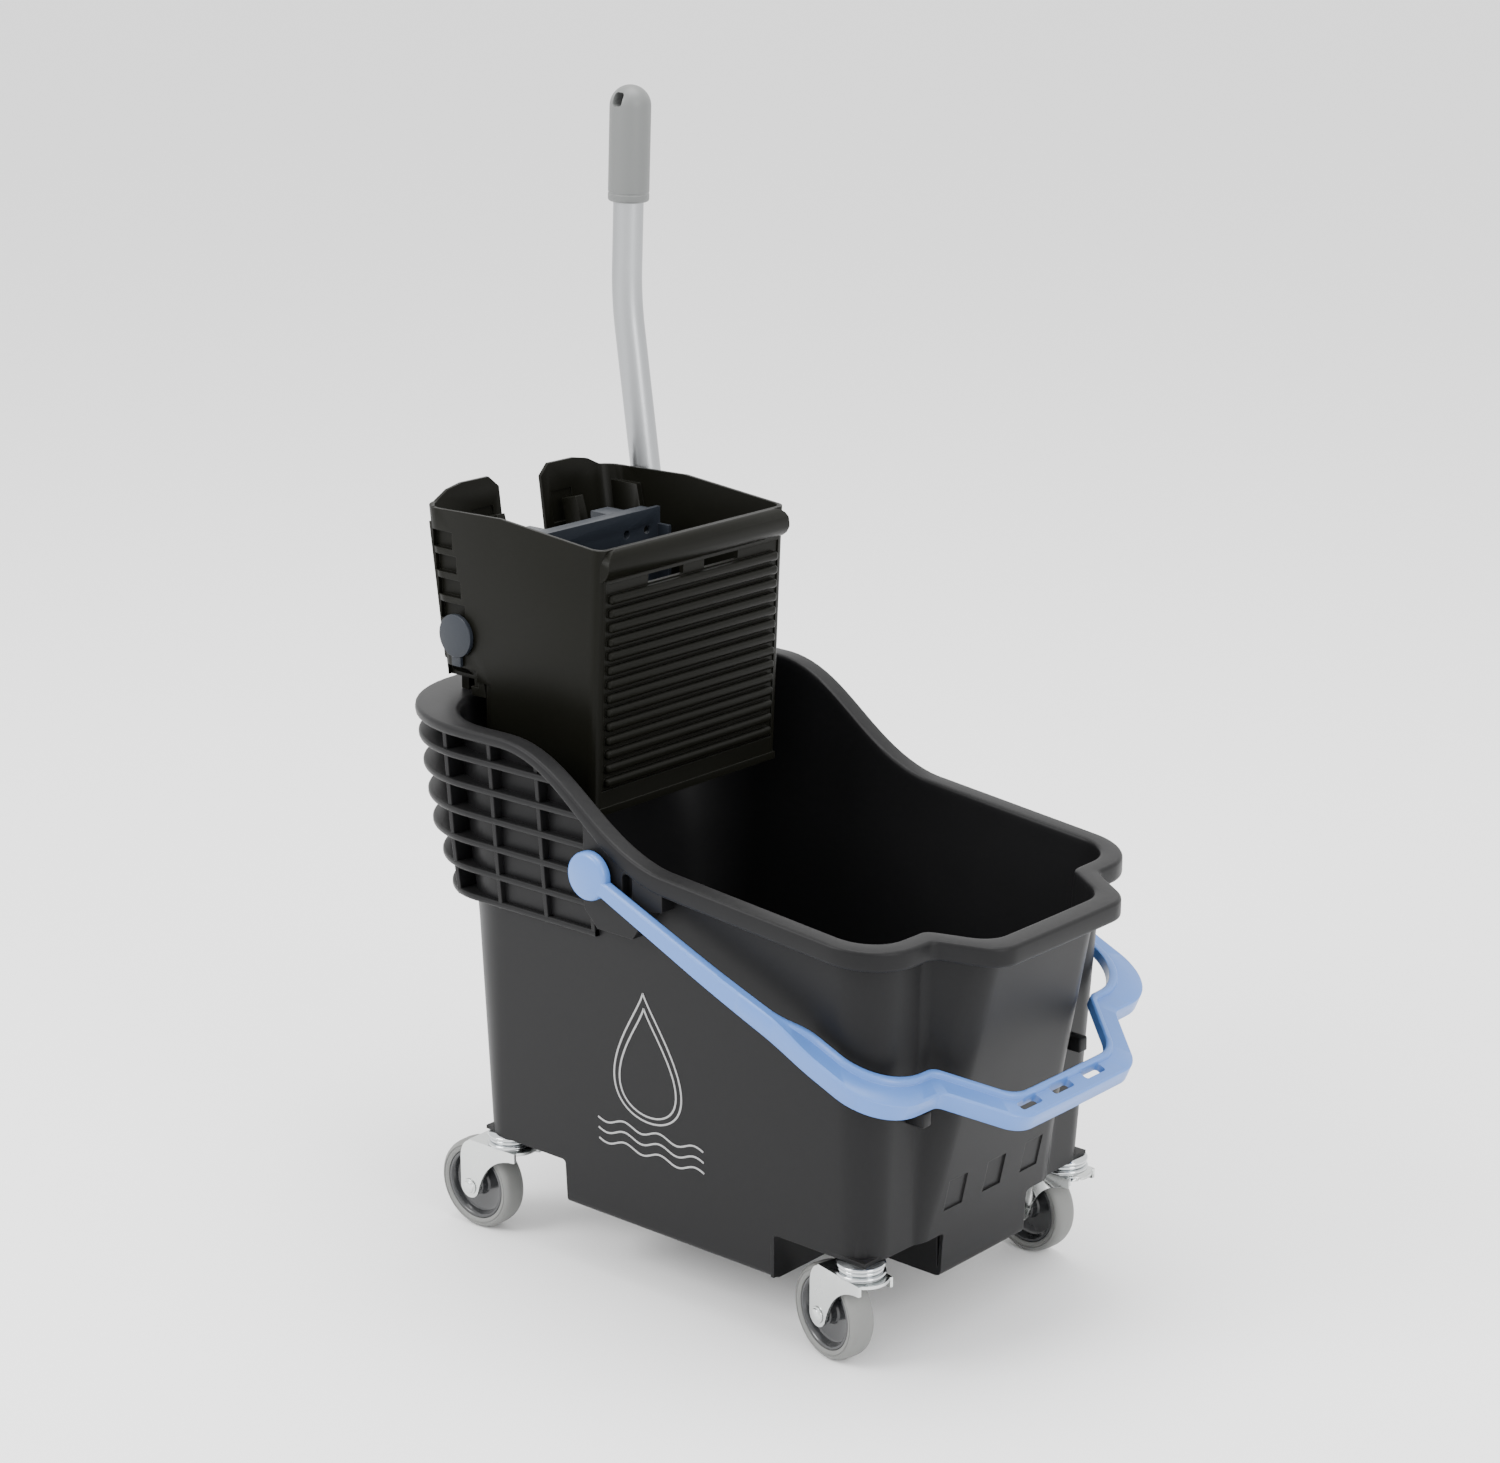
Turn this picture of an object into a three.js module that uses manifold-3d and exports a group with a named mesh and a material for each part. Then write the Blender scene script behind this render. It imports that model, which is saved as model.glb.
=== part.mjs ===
// A wheeled mopping bucket with a high back, a lever press wringer and a carrying bail.
// Millimetres, +Z up, +X towards the low pouring end, the wringer lever on the +Y side.
// Heights are measured from the ground; lengths from the middle of the bucket's sump.

import * as THREE from 'three';
import { mergeVertices } from 'three/addons/utils/BufferGeometryUtils.js';
import Module from 'manifold-3d';

const wasm = await Module();
wasm.setup();

// Clearances
const gap = 0.3;              // between touching pieces
const runningGap = 0.4;       // round a pin that turns

// Castors
const swivelFront = 176;      // swivel axes
const swivelRear = -188;
const swivelHalfSpacing = 127;
const wheelRadius = 37.5;
const tyreWidth = 22;
const hubRadius = 29;
const trail = 32;             // wheel axle behind the swivel axis
const axleBoltRadius = 4;
const stemRadius = 5.5;
const stemLength = 36;        // up into the bucket
const socketWall = 2.5;
const forkSheet = 2.5;
const forkClearance = 2.5;    // tyre side to fork leg
const forkTop = 2 * wheelRadius + 4;
const raceRadius = 19;
const raceHeight = 12;
const swingClearance = 8.5;   // round the wheel as the castor swings

// Bucket
const wall = 3;
const sumpBottom = 54;
const recessCeiling = forkTop + raceHeight; // underside of the bucket over each castor
const rimHigh = 437;          // rear
const rimMiddle = 362;        // foot of the rim's S-curve
const rimLow = 339;           // tip of the nose
const openHalfWidth = 151;    // inside, at the rim
const footHalfWidth = 137;    // inside, over the castors
const openRear = 252;
const kneeRear = 221;         // at the foot of the lattice
const kneeHeight = rimHigh - 147;
const footRear = 203;
const openFront = 201;
const footFront = 187;
const noseReach = 42;         // how far the nose stands out at the rim
const noseRoot = 3;
const noseHalfWidth = 80;
const footCornerRadius = 22;
const rimCornerRadius = 32;
const rearOpeningRadius = 60; // the opening's rear corners
const lipWidth = 17;
const rearFlange = 52;
const lipDepthFront = 15;
const lipDepthRear = 8;
const rearCornerStart = openRear - 62; // the rear rim's corners, along the side and across the back
const rearCornerDepth = 104;
const sweepRear = 102 - openRear; // the S-curve's start and end
const sweepFront = sweepRear + 160;
const bailPivotX = -51;
const bracketFoot = rimMiddle - 56; // underside of the bail's brackets

// Room for a castor to swing, from its swivel axis
const chordAtSump = Math.sqrt(wheelRadius ** 2 - (sumpBottom - wheelRadius) ** 2);
const swingReach = Math.hypot(trail + chordAtSump, tyreWidth / 2) + swingClearance;

// Lattice under the rear rim
const finCount = 6;
const finPitch = 23.4;
const finThickness = 5;
const firstFin = rimHigh - 24;
const finPinch = 2.2;         // how far each fin draws in at the sides from the one above
const ribThickness = 4;
const ribPitch = 49;
const latticeEnd = bailPivotX - 11;

// Bail
const bailPivotZ = rimMiddle - 12;
const bailDroop = 22.9;       // degrees below level at rest
const bailPinRadius = 6;
const bailArmInside = openHalfWidth + lipWidth + 2;
const bailArmThickness = 9;
const bailArmDepth = 18;      // at the hand band; it tapers to this at the pivot
const bailArmRoot = 12;
const bailDiscRadius = 19;
const bailFront = 308;        // pivot to the outer edge of the shoulders
const bailNose = 50;
const bailCornerRadius = 44;
const bailFlankSlope = THREE.MathUtils.degToRad(52);
const bailBand = 21;          // width of the hand band
const bailBandThickness = 6;
const bailSkirt = 12;

// Wringer
const wringerHalfWidth = 108;
const wringerRear = -(openRear + 40);
const wringerFront = wringerRear + 193;
const wringerTop = rimHigh + 141;
const shoulderTop = wringerTop + 19; // the rear wall's raised shoulders
const wringerBottom = rimHigh - 71;
const wringerWall = 3;
const rearGapHalf = 24;       // the gap in the rear wall
const rearGapFoot = wringerTop - 50;
const wringerSeat = rimHigh + 15; // height of the step at the rear
const wringerHang = 3.5;      // foot of the wringer to the bucket's rear wall
const bandDepth = 27;         // smooth rolled band over the ribbed panel
const bandStand = 6;          // how far it stands out
const panelRibs = 14;
const ribRise = 4;
const panelThickness = 4;

// Press
const axleX = wringerRear + 38;
const axleZ = rimHigh + 50;
const axleRadius = 6;
const plateX = axleX + 42;     // face of the press plate at rest
const plateHalfWidth = wringerHalfWidth - 26;
const plateTop = wringerTop - 13;
const plateBottom = wringerBottom + 24;
const plateThickness = 4;
const lobeReach = 62;         // the cam's leading lobe
const lobeLead = 5;           // degrees: its leading edge, forward of upright
const armReach = 86;          // the taller arm behind it
const armLead = -9;
const camOffset = 45;         // cam to the middle, along the axle
const camThickness = 9;
const camClearance = 3.4;     // cam to push pad at rest; the cam gains on the plate mid-stroke
const padBack = axleX + lobeReach * Math.sin(THREE.MathUtils.degToRad(lobeLead)) + camClearance;
const padHalfWidth = 10;
const padFoot = 20;           // underside of the push pads, above the axle

// Lever
const leverRadius = 12.5;
const leverTubeWall = 2;
const leverBendZ = axleZ + 235;
const leverBendRun = 25;      // along the tube, either side of the bend
const leverLean = 8;          // degrees backwards, below the bend
const leverTopLean = 2.4;     // degrees forwards, above the bend
const gripRadius = 17;
const gripBottomZ = axleZ + 315;
const gripTopZ = gripBottomZ + 94;
const socketRadius = 14.5;
const bushFlange = 1.5;
const leverY = wringerHalfWidth + gap + bushFlange + gap + socketRadius;

// ---- solids -------------------------------------------------------------------------

function toSolid(geometry) {
  const bare = geometry.clone();
  bare.deleteAttribute('normal');
  bare.deleteAttribute('uv');
  const merged = mergeVertices(bare, 1e-4);
  return new wasm.Manifold(new wasm.Mesh({
    numProp: 3,
    vertProperties: new Float32Array(merged.attributes.position.array),
    triVerts: new Uint32Array(merged.index.array),
  }));
}

function toGeometry(solid) {
  const mesh = solid.getMesh();
  const positions = new Float32Array(mesh.vertProperties);
  const geometry = new THREE.BufferGeometry();
  geometry.setAttribute('position', new THREE.BufferAttribute(positions, 3));
  geometry.setIndex(new THREE.BufferAttribute(new Uint32Array(mesh.triVerts), 1));
  geometry.computeVertexNormals();
  return geometry;
}

function join(...solids) {
  return solids.reduce((all, next) => all.add(next));
}

function cut(solid, ...tools) {
  return tools.reduce((left, tool) => left.subtract(tool), solid);
}

// Both ends of a span on one side of the middle, lower end first.
function span(side, inner, outer) {
  return side > 0 ? [inner, outer] : [-outer, -inner];
}

function box(x0, x1, y0, y1, z0, z1) {
  const geometry = new THREE.BoxGeometry(Math.abs(x1 - x0), Math.abs(y1 - y0), Math.abs(z1 - z0));
  geometry.translate((x0 + x1) / 2, (y0 + y1) / 2, (z0 + z1) / 2);
  return toSolid(geometry);
}

// A round bar along Y.
function barAcross(radius, x, z, y0, y1, segments = 24) {
  const geometry = new THREE.CylinderGeometry(radius, radius, y1 - y0, segments);
  geometry.translate(x, (y0 + y1) / 2, z);
  return toSolid(geometry);
}

// A round bar along Z.
function barUp(radius, x, y, z0, z1, segments = 16) {
  const geometry = new THREE.CylinderGeometry(radius, radius, z1 - z0, segments);
  geometry.rotateX(Math.PI / 2);
  geometry.translate(x, y, (z0 + z1) / 2);
  return toSolid(geometry);
}

// A side-view outline (x, z), extruded from y0 to y1.
function slabAcross(shape, y0, y1, curveSegments = 8) {
  const settings = { depth: y1 - y0, bevelEnabled: false, curveSegments };
  const geometry = new THREE.ExtrudeGeometry(shape, settings);
  geometry.rotateX(Math.PI / 2);
  geometry.translate(0, y1, 0);
  return toSolid(geometry);
}

// An end-view outline (y, z), extruded from x0 to x1.
function slabAlong(shape, x0, x1) {
  const geometry = new THREE.ExtrudeGeometry(shape, { depth: x1 - x0, bevelEnabled: false });
  geometry.rotateX(Math.PI / 2);
  geometry.rotateZ(Math.PI / 2);
  geometry.translate(x0, 0, 0);
  return toSolid(geometry);
}

// A profile of (radius, height) points that closes on itself or on the axis, turned about Z.
function turned(profile, segments = 24) {
  const geometry = new THREE.LatheGeometry(profile.map(([r, h]) => new THREE.Vector2(r, h)), segments);
  geometry.rotateX(Math.PI / 2);
  return toSolid(geometry);
}

function polygon(points) {
  return new THREE.Shape(points.map(([a, b]) => new THREE.Vector2(a, b)));
}

// A solid through the same outline drawn at several heights.
function loft(levels, outlineAt) {
  const outlines = levels.map(outlineAt);
  const last = levels.length - 1;
  const geometry = new THREE.ExtrudeGeometry(new THREE.Shape(outlines[last]), {
    depth: last,
    steps: last,
    bevelEnabled: false,
  });
  const key = (x, y) => `${Math.fround(x)} ${Math.fround(y)}`;
  const order = new Map(outlines[last].map((point, i) => [key(point.x, point.y), i]));
  const position = geometry.attributes.position;
  for (let v = 0; v < position.count; v += 1) {
    const point = order.get(key(position.getX(v), position.getY(v)));
    const level = Math.round(position.getZ(v));
    position.setXYZ(v, outlines[level][point].x, outlines[level][point].y, levels[level]);
  }
  return toSolid(geometry);
}

// ---- plan outlines ------------------------------------------------------------------

const blend = (a, b, t) => a + (b - a) * t;
const sideTaper = 0.0001;     // the tub narrows slightly towards the front
const frontCrown = 1.5;       // the front wall bows out a little
const noseRounding = 28;      // radius of the nose's corners, and of the hollows beside it
const noseHollow = 10;
const noseFlankSlope = THREE.MathUtils.degToRad(60);

// One flank of a nose, as [y, how far it stands out] from its rounded corner to its root.
function noseFlank(reach, half, steepest) {
  const radii = noseRounding + noseHollow;
  const slope = Math.min(steepest, Math.acos(Math.max(-1, 1 - reach / radii)));
  const fall = (radius, angle) => radius * (1 - Math.cos(angle));
  const upper = noseRounding * Math.sin(slope);
  const start = half - upper - (reach / 2 - fall(noseRounding, slope)) / Math.tan(slope);
  const root = start + radii * Math.sin(slope) + (reach - fall(radii, slope)) / Math.tan(slope);
  const corner = [0, 0.25, 0.5, 0.75, 1].map((t) => [
    start + noseRounding * Math.sin(t * slope), reach - fall(noseRounding, t * slope),
  ]);
  const hollow = [1, 0.6, 0.3, 0].map((t) => [
    root - noseHollow * Math.sin(t * slope), fall(noseHollow, t * slope),
  ]);
  return [...corner, ...hollow];
}

// The tub's plan: a rounded rectangle with a nose pushed out of its front edge.
function tubPlan({
  side, rear, front, rearRx, rearRy, frontR, nose, noseHalf, steepest = noseFlankSlope,
}) {
  const cornerSteps = 6;
  const edge = side - frontR;
  const flank = noseFlank(nose, noseHalf, steepest);
  const nearFlank = flank.toReversed().map(([y, out]) => [-y, out]);
  const points = [...nearFlank, [0, nose], ...flank].map(([y, out]) => [
    front + out + frontCrown * (1 - (y / edge) ** 2), y,
  ]);
  const arc = (cx, cy, rx, ry, from) => {
    for (let i = 0; i <= cornerSteps; i += 1) {
      const angle = from + (Math.PI / 2) * (i / cornerSteps);
      points.push([cx + rx * Math.cos(angle), cy + ry * Math.sin(angle)]);
    }
  };
  arc(front - frontR, side - frontR, frontR, frontR, 0);
  arc(-rear + rearRx, side - rearRy, rearRx, rearRy, Math.PI / 2);
  arc(-rear + rearRx, -side + rearRy, rearRx, rearRy, Math.PI);
  arc(front - frontR, -side + frontR, frontR, frontR, 1.5 * Math.PI);
  return points.map(([x, y]) => new THREE.Vector2(x, y * (1 - sideTaper * x)));
}

// The inside of the rear wall at height z: it flares above the knee.
function rearWall(z) {
  return z < kneeHeight
    ? blend(footRear, kneeRear, (z - recessCeiling) / (kneeHeight - recessCeiling))
    : blend(kneeRear, openRear, (z - kneeHeight) / (rimHigh - kneeHeight));
}

// The tub's wall at height z, grown outwards by `grow`.
function wallPlan(z, grow) {
  const t = (z - recessCeiling) / (rimLow - recessCeiling);
  const corner = blend(footCornerRadius, rimCornerRadius, t) + grow;
  const rearCorner = blend(footCornerRadius, rearOpeningRadius, t) + grow;
  return tubPlan({
    side: blend(footHalfWidth, openHalfWidth, Math.min(t, 1)) + grow,
    rear: rearWall(z) + grow,
    front: blend(footFront, openFront, t) + grow,
    rearRx: rearCorner,
    rearRy: rearCorner,
    frontR: corner,
    nose: blend(noseRoot, noseReach, Math.max(0, t)),
    noseHalf: noseHalfWidth + grow * 0.5,
  });
}

// The rim's outer edge; `drop` and `pinch` draw it in for the lattice fins below.
function rimPlan(pinch = 0, drop = 0) {
  const rear = openRear + rearFlange - drop;
  return tubPlan({
    side: openHalfWidth + lipWidth - pinch,
    rear,
    front: openFront + lipWidth,
    rearRx: rear - rearCornerStart,
    rearRy: rearCornerDepth - pinch,
    frontR: rimCornerRadius + 14,
    nose: noseReach + 2,
    noseHalf: noseHalfWidth + 10,
  });
}

// Everything below the rim line, seen from the side; the line drops by the lip's depth.
function belowRim(dropRear, dropFront) {
  const beyond = 340;
  const shape = new THREE.Shape();
  shape.moveTo(-beyond, 0);
  shape.lineTo(beyond, 0);
  shape.lineTo(beyond, rimLow - 7 - dropFront);
  shape.lineTo(sweepFront, rimMiddle - dropFront);
  shape.bezierCurveTo(sweepFront - 70, rimMiddle + 13 - dropFront,
    sweepRear + 65 - dropFront, rimHigh - dropRear, sweepRear, rimHigh - dropRear);
  shape.lineTo(-beyond, rimHigh - dropRear);
  const halfWidth = 200;
  return slabAcross(shape, -halfWidth, halfWidth, 12);
}

// ---- bucket -------------------------------------------------------------------------

const sides = [-1, 1];

// Swivel axes, and the yaw in degrees that each castor rests at: the wheels trail rearwards.
const castorSpots = [
  { name: 'front_near', x: swivelFront, y: -swivelHalfSpacing, yaw: -13 },
  { name: 'front_far', x: swivelFront, y: swivelHalfSpacing, yaw: -4 },
  { name: 'rear_near', x: swivelRear, y: -swivelHalfSpacing, yaw: 2 },
  { name: 'rear_far', x: swivelRear, y: swivelHalfSpacing, yaw: 9 },
];

function castorCorners(reach, ceiling) {
  const beyond = 300;
  return castorSpots.map(({ x, y }) => {
    const [sx, sy] = [Math.sign(x), Math.sign(y)];
    return box(x - sx * reach, sx * beyond, y - sy * reach, sy * beyond, 0, ceiling);
  });
}

function latticeFins(tub) {
  const fins = [];
  for (let k = 0; k < finCount; k += 1) {
    const z = firstFin - finPitch * k;
    const drop = 4 + 4 * k + 9 * Math.max(0, k - 3);
    fins.push(loft([z - finThickness / 2, z + finThickness / 2], () => rimPlan(finPinch * k, drop)));
  }
  const front = box(latticeEnd, 400, -300, 300, 0, 500);
  return cut(join(...fins), front, tub);
}

function latticeRibs(tub) {
  const bottom = firstFin - finPitch * (finCount - 1);
  const levels = [bottom, bottom + finPitch * 2, rimHigh - lipDepthRear / 2];
  const drops = [44, 18, 3];
  const pinches = [12, 8, 2];
  const envelope = loft(levels, (z) => {
    const k = levels.indexOf(z);
    return rimPlan(pinches[k], drops[k]);
  });
  const ribs = [];
  const half = ribThickness / 2;
  for (let x = latticeEnd - half; x > -240; x -= ribPitch) {
    ribs.push(box(x - half, x + half, -200, 200, 0, rimHigh));
  }
  for (let y = -2 * ribPitch; y <= 2 * ribPitch; y += ribPitch) {
    ribs.push(box(-320, -180, y - half, y + half, 0, rimHigh));
  }
  return cut(join(...ribs).intersect(envelope), tub);
}

function bailBrackets() {
  const inner = openHalfWidth - 1;
  const outer = openHalfWidth + lipWidth - 1;
  const pads = sides.map((side) => box(
    latticeEnd - 2, 16, side * inner, side * outer, bracketFoot, rimHigh,
  ));
  const pinHoles = sides.map((side) => barAcross(
    bailPinRadius + runningGap, bailPivotX, bailPivotZ, ...span(side, inner + wall + 1, outer + 1),
  ));
  const slots = sides.map((side) => box(-24, -14, side * (inner + 8), side * (outer + 9), 334, 356));
  return { pads: join(...pads), cuts: [...pinHoles, ...slots] };
}

function bucketShell() {
  const bends = [recessCeiling, kneeHeight, rimLow].sort((a, b) => a - b);
  const outerLevels = [sumpBottom, ...bends, rimHigh + 20];
  const innerLevels = [sumpBottom + wall, ...bends, rimHigh + 21];
  const outside = loft(outerLevels, (z) => wallPlan(z, wall));
  const inside = loft(innerLevels, (z) => wallPlan(z, 0));
  const mould = cut(outside, ...castorCorners(swingReach, recessCeiling));
  const hollow = cut(inside, ...castorCorners(swingReach + wall, recessCeiling + wall));

  const below = belowRim(0, 0);
  const band = below.subtract(belowRim(lipDepthRear, lipDepthFront));
  const flangeBlank = loft([sumpBottom, rimHigh + 20], () => rimPlan());
  const rim = flangeBlank.intersect(band);
  const { pads, cuts } = bailBrackets();
  const lattice = join(latticeFins(inside), latticeRibs(inside)).intersect(below);

  const stemHole = stemRadius + gap;
  const socketTop = recessCeiling + stemLength + wall;
  const sockets = castorSpots.map(({ x, y }) => barUp(
    stemHole + socketWall, x, y, recessCeiling, socketTop, 12,
  ));
  const stemHoles = castorSpots.map(({ x, y }) => barUp(stemHole, x, y, 0, socketTop - wall, 12));

  const walls = join(mould.intersect(below), rim, pads.intersect(below), lattice, ...bailStops());
  const body = cut(walls, hollow);
  return cut(join(body, ...sockets), ...stemHoles, ...cuts, ...frontPockets());
}

// Two lugs on the front wall that the bail comes to rest on.
function bailStops() {
  const root = footFront + wall / 2;
  return sides.map((side) => box(root, root + 24, side * 92, side * 102, 196, 208));
}

// Three shallow square pockets low on the nose; their floors slope with its face.
function frontPockets() {
  const pitch = 47;
  const size = 22;
  const depth = wall / 2;
  const [foot, top] = [112, 138];
  const floorAt = (z) => Math.max(...wallPlan(z, wall).map((point) => point.x)) - depth;
  const outline = polygon([[floorAt(foot), foot], [260, foot], [260, top], [floorAt(top), top]]);
  return [-pitch, 0, pitch].map((y) => slabAcross(outline, y - size / 2, y + size / 2));
}

// ---- bail ---------------------------------------------------------------------------

// Built level, with its pivot axis through the origin, then hung from the bucket.
function bailHandle() {
  const outerSide = bailArmInside + bailArmThickness;
  const half = bailBandThickness / 2;
  const bandStart = 205;
  const reach = bailFront + bailNose;

  // The loop's outline drawn in by `inset`, and a flat ring between two such outlines.
  const loop = (inset) => () => tubPlan({
    side: outerSide - 1 - inset,
    rear: 0,
    front: bailFront - inset,
    rearRx: 10,
    rearRy: 10,
    frontR: bailCornerRadius,
    nose: bailNose,
    noseHalf: noseHalfWidth + 11 - inset / 2,
    steepest: bailFlankSlope,
  });
  const behind = box(-60, bandStart, -220, 220, -60, 60);
  const ring = (outset, inset, z0, z1) => cut(
    loft([z0, z1], loop(outset)),
    loft([z0 - 1, z1 + 1], loop(inset)),
    behind,
  );
  const band = ring(0, bailBand, -half, half);
  const skirt = ring(0, 5, -bailSkirt, half);
  const bead = ring(bailBand - 5, bailBand, -half, half + 4);
  const slots = [-51, -12, 27].map((y) => box(reach - 14, reach - 6, y - 12, y + 12, -20, 20));

  const arms = sides.map((side) => {
    const [inner, outer] = span(side, bailArmInside, outerSide);
    const armEnd = bandStart + 12;
    const arm = slabAcross(polygon([
      [0, -bailArmRoot / 2], [armEnd, -bailArmDepth / 2], [armEnd, bailArmDepth / 2],
      [0, bailArmRoot / 2],
    ]), inner, outer);
    const disc = barAcross(bailDiscRadius, 0, 0, ...span(side, bailArmInside, outerSide), 32);
    const pin = barAcross(bailPinRadius, 0, 0, ...span(side, openHalfWidth + wall + 2, bailArmInside), 20);
    return join(arm, disc, pin);
  });
  return cut(join(band, skirt, bead, ...arms), ...slots);
}

// ---- wringer ------------------------------------------------------------------------

// A rounded rectangle from x0 to x1, as wide as the wringer less `inset` a side.
function wringerPlan(x0, x1, inset) {
  const half = wringerHalfWidth - inset;
  const front = 8;
  const rear = 16;
  const shape = new THREE.Shape();
  shape.absarc(x1 - front, half - front, front, 0, Math.PI / 2);
  shape.absarc(x0 + rear, half - rear, rear, Math.PI / 2, Math.PI);
  shape.absarc(x0 + rear, -half + rear, rear, Math.PI, 1.5 * Math.PI);
  shape.absarc(x1 - front, -half + front, front, 1.5 * Math.PI, 2 * Math.PI);
  return shape.getPoints(4);
}

// The front wall leans back towards its foot.
function wringerFace(z) {
  const lean = 10;
  return blend(wringerFront - lean, wringerFront, (z - wringerBottom) / (wringerTop - wringerBottom));
}

// The lower part, which hangs inside the bucket against its rear wall.
const wringerFootRear = -rearWall(wringerBottom) + wringerHang;

function wringerFoot(inset, z0, z1) {
  return loft([z0, z1], (z) => wringerPlan(wringerFootRear + inset, wringerFace(z) - inset, inset));
}

// The upper rear wall leans back towards its top.
function wringerBack(z) {
  const lean = 16;
  return blend(wringerRear + lean, wringerRear, (z - wringerSeat) / (wringerTop - wringerSeat));
}

function wringerTub(inset, z0, z1) {
  const seat = wringerSeat + inset;
  const upper = loft([seat, z1], (z) => wringerPlan(
    wringerBack(z) + inset, wringerFace(z) - inset, inset,
  ));
  return upper.add(wringerFoot(inset, z0, seat + 1));
}

function panelOpening(clear) {
  return {
    half: wringerHalfWidth - 9 + clear,
    top: wringerTop - bandDepth + clear,
    bottom: wringerBottom + 20 - clear,
  };
}

// The side walls rise gently backwards; the rear wall has two raised shoulders and a gap.
function trimWringer(shell) {
  const back = wringerRear - 20;
  const shoulderRoot = wringerRear + 10;
  const crown = polygon([
    [back, 0], [0, 0], [0, wringerTop], [wringerFront, wringerTop],
    [wringerFront - 106, wringerTop + 10], [shoulderRoot, wringerTop + 8],
    [shoulderRoot, shoulderTop + 10], [back, shoulderTop + 10],
  ]);
  const half = wringerHalfWidth + 2;
  const skyline = [
    [half, shoulderTop - 11], [half - 16, shoulderTop - 10], [half - 30, shoulderTop - 3],
    [half - 46, shoulderTop], [rearGapHalf + 10, shoulderTop],
    [rearGapHalf, shoulderTop - 9], [rearGapHalf, rearGapFoot],
  ];
  const mirrored = skyline.toReversed().map(([y, z]) => [-y, z]);
  const shoulders = slabAlong(polygon([[-half, 0], [half, 0], ...skyline, ...mirrored]), -400, 0);
  const rearOnly = box(back, wringerRear + 24, -half - 10, half + 10, 0, shoulderTop + 20);
  const trimmed = shell.intersect(slabAcross(crown, -half - 10, half + 10));
  return join(trimmed.subtract(rearOnly), trimmed.intersect(rearOnly).intersect(shoulders));
}

// Thick rear posts on each side wall, each with a ladder of pockets.
function rearPosts(inner) {
  const top = wringerTop - 4;
  const back = wringerRear + 6;
  const foot = wringerSeat - 12;
  const post = polygon([
    [back, top], [back + 31, top], [back + 60, foot], [back + 44, foot],
    [back + 42, foot + 16], [back + 14, foot + 26],
  ]);
  const posts = sides.map((side) => slabAcross(post, ...span(side, inner - 5, inner + 1)));
  const pockets = sides.flatMap((side) => [12, 31, 50, 69, 120].map((below) => {
    const x = back + 3 + 0.12 * below;
    const z = top - below;
    const outer = wringerHalfWidth + 20;
    return box(x, x + 22 + 0.1 * below, side * (inner - 3), side * outer, z - 7, z + 7);
  }));
  return { posts, pockets };
}

// The smooth rolled band along the top of the front wall.
function rolledBand(half) {
  const foot = wringerTop - bandDepth + 3;
  const out = wringerFront + bandStand;
  const profile = polygon([
    [wringerFace(foot) - wringerWall, foot], [wringerFace(foot), foot], [out - 3, foot + 3],
    [out, foot + 8], [out, wringerTop - 7], [out - 2, wringerTop - 2], [out - 5, wringerTop],
    [wringerFront - wringerWall, wringerTop],
  ]);
  const corner = 13;
  const edge = [[half, 0], [half, wringerTop - corner]];
  for (let i = 1; i <= 4; i += 1) {
    const angle = (Math.PI / 2) * (i / 4);
    edge.push([
      half - corner + corner * Math.cos(angle), wringerTop - corner + corner * Math.sin(angle),
    ]);
  }
  const roundedEnds = polygon([...edge, ...edge.toReversed().map(([y, z]) => [-y, z])]);
  return slabAcross(profile, -half, half).intersect(slabAlong(roundedEnds, -200, 0));
}

function wringerFrame() {
  const shell = cut(
    wringerTub(0, wringerBottom, shoulderTop),
    wringerTub(wringerWall, wringerBottom - 2, shoulderTop + 2),
  );
  const inner = wringerHalfWidth - wringerWall;
  const { posts, pockets } = rearPosts(inner);
  const feet = sides.map((side) => box(
    wringerRear + 22, wringerRear + 30,
    side * (wringerHalfWidth - 58), side * (wringerHalfWidth - 18), rimHigh + gap, wringerSeat + 4,
  ));
  const ledgeFront = wringerFront - 9;
  const ledge = box(ledgeFront - 11, ledgeFront, -inner, inner, wringerBottom, wringerBottom + 6);
  const lug = box(
    wringerFront - 28, wringerFront - 18, inner, wringerHalfWidth + 3, axleZ - 14, axleZ + 10,
  );

  const { half, top, bottom } = panelOpening(runningGap);
  const opening = box(wringerFront - 30, wringerFront + 20, -half, half, bottom, top);
  const [low, high] = [wringerTop - 30, wringerTop - 4];
  const recess = polygon([
    [wringerBack(low) + wringerWall / 2, low], [wringerRear + 20, low],
    [wringerRear + 20, high], [wringerBack(high) + wringerWall / 2, high],
  ]);
  const recesses = sides.map((side) => slabAcross(
    recess, ...span(side, camOffset - 12, camOffset + 12),
  ));
  const axleHole = barAcross(axleRadius + runningGap, axleX, axleZ, -half - 30, half + 30);
  const solid = join(trimWringer(shell), ...posts, ...feet, ledge, lug, rolledBand(inner));
  return cut(solid, opening, ...recesses, ...pockets, axleHole);
}

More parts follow.
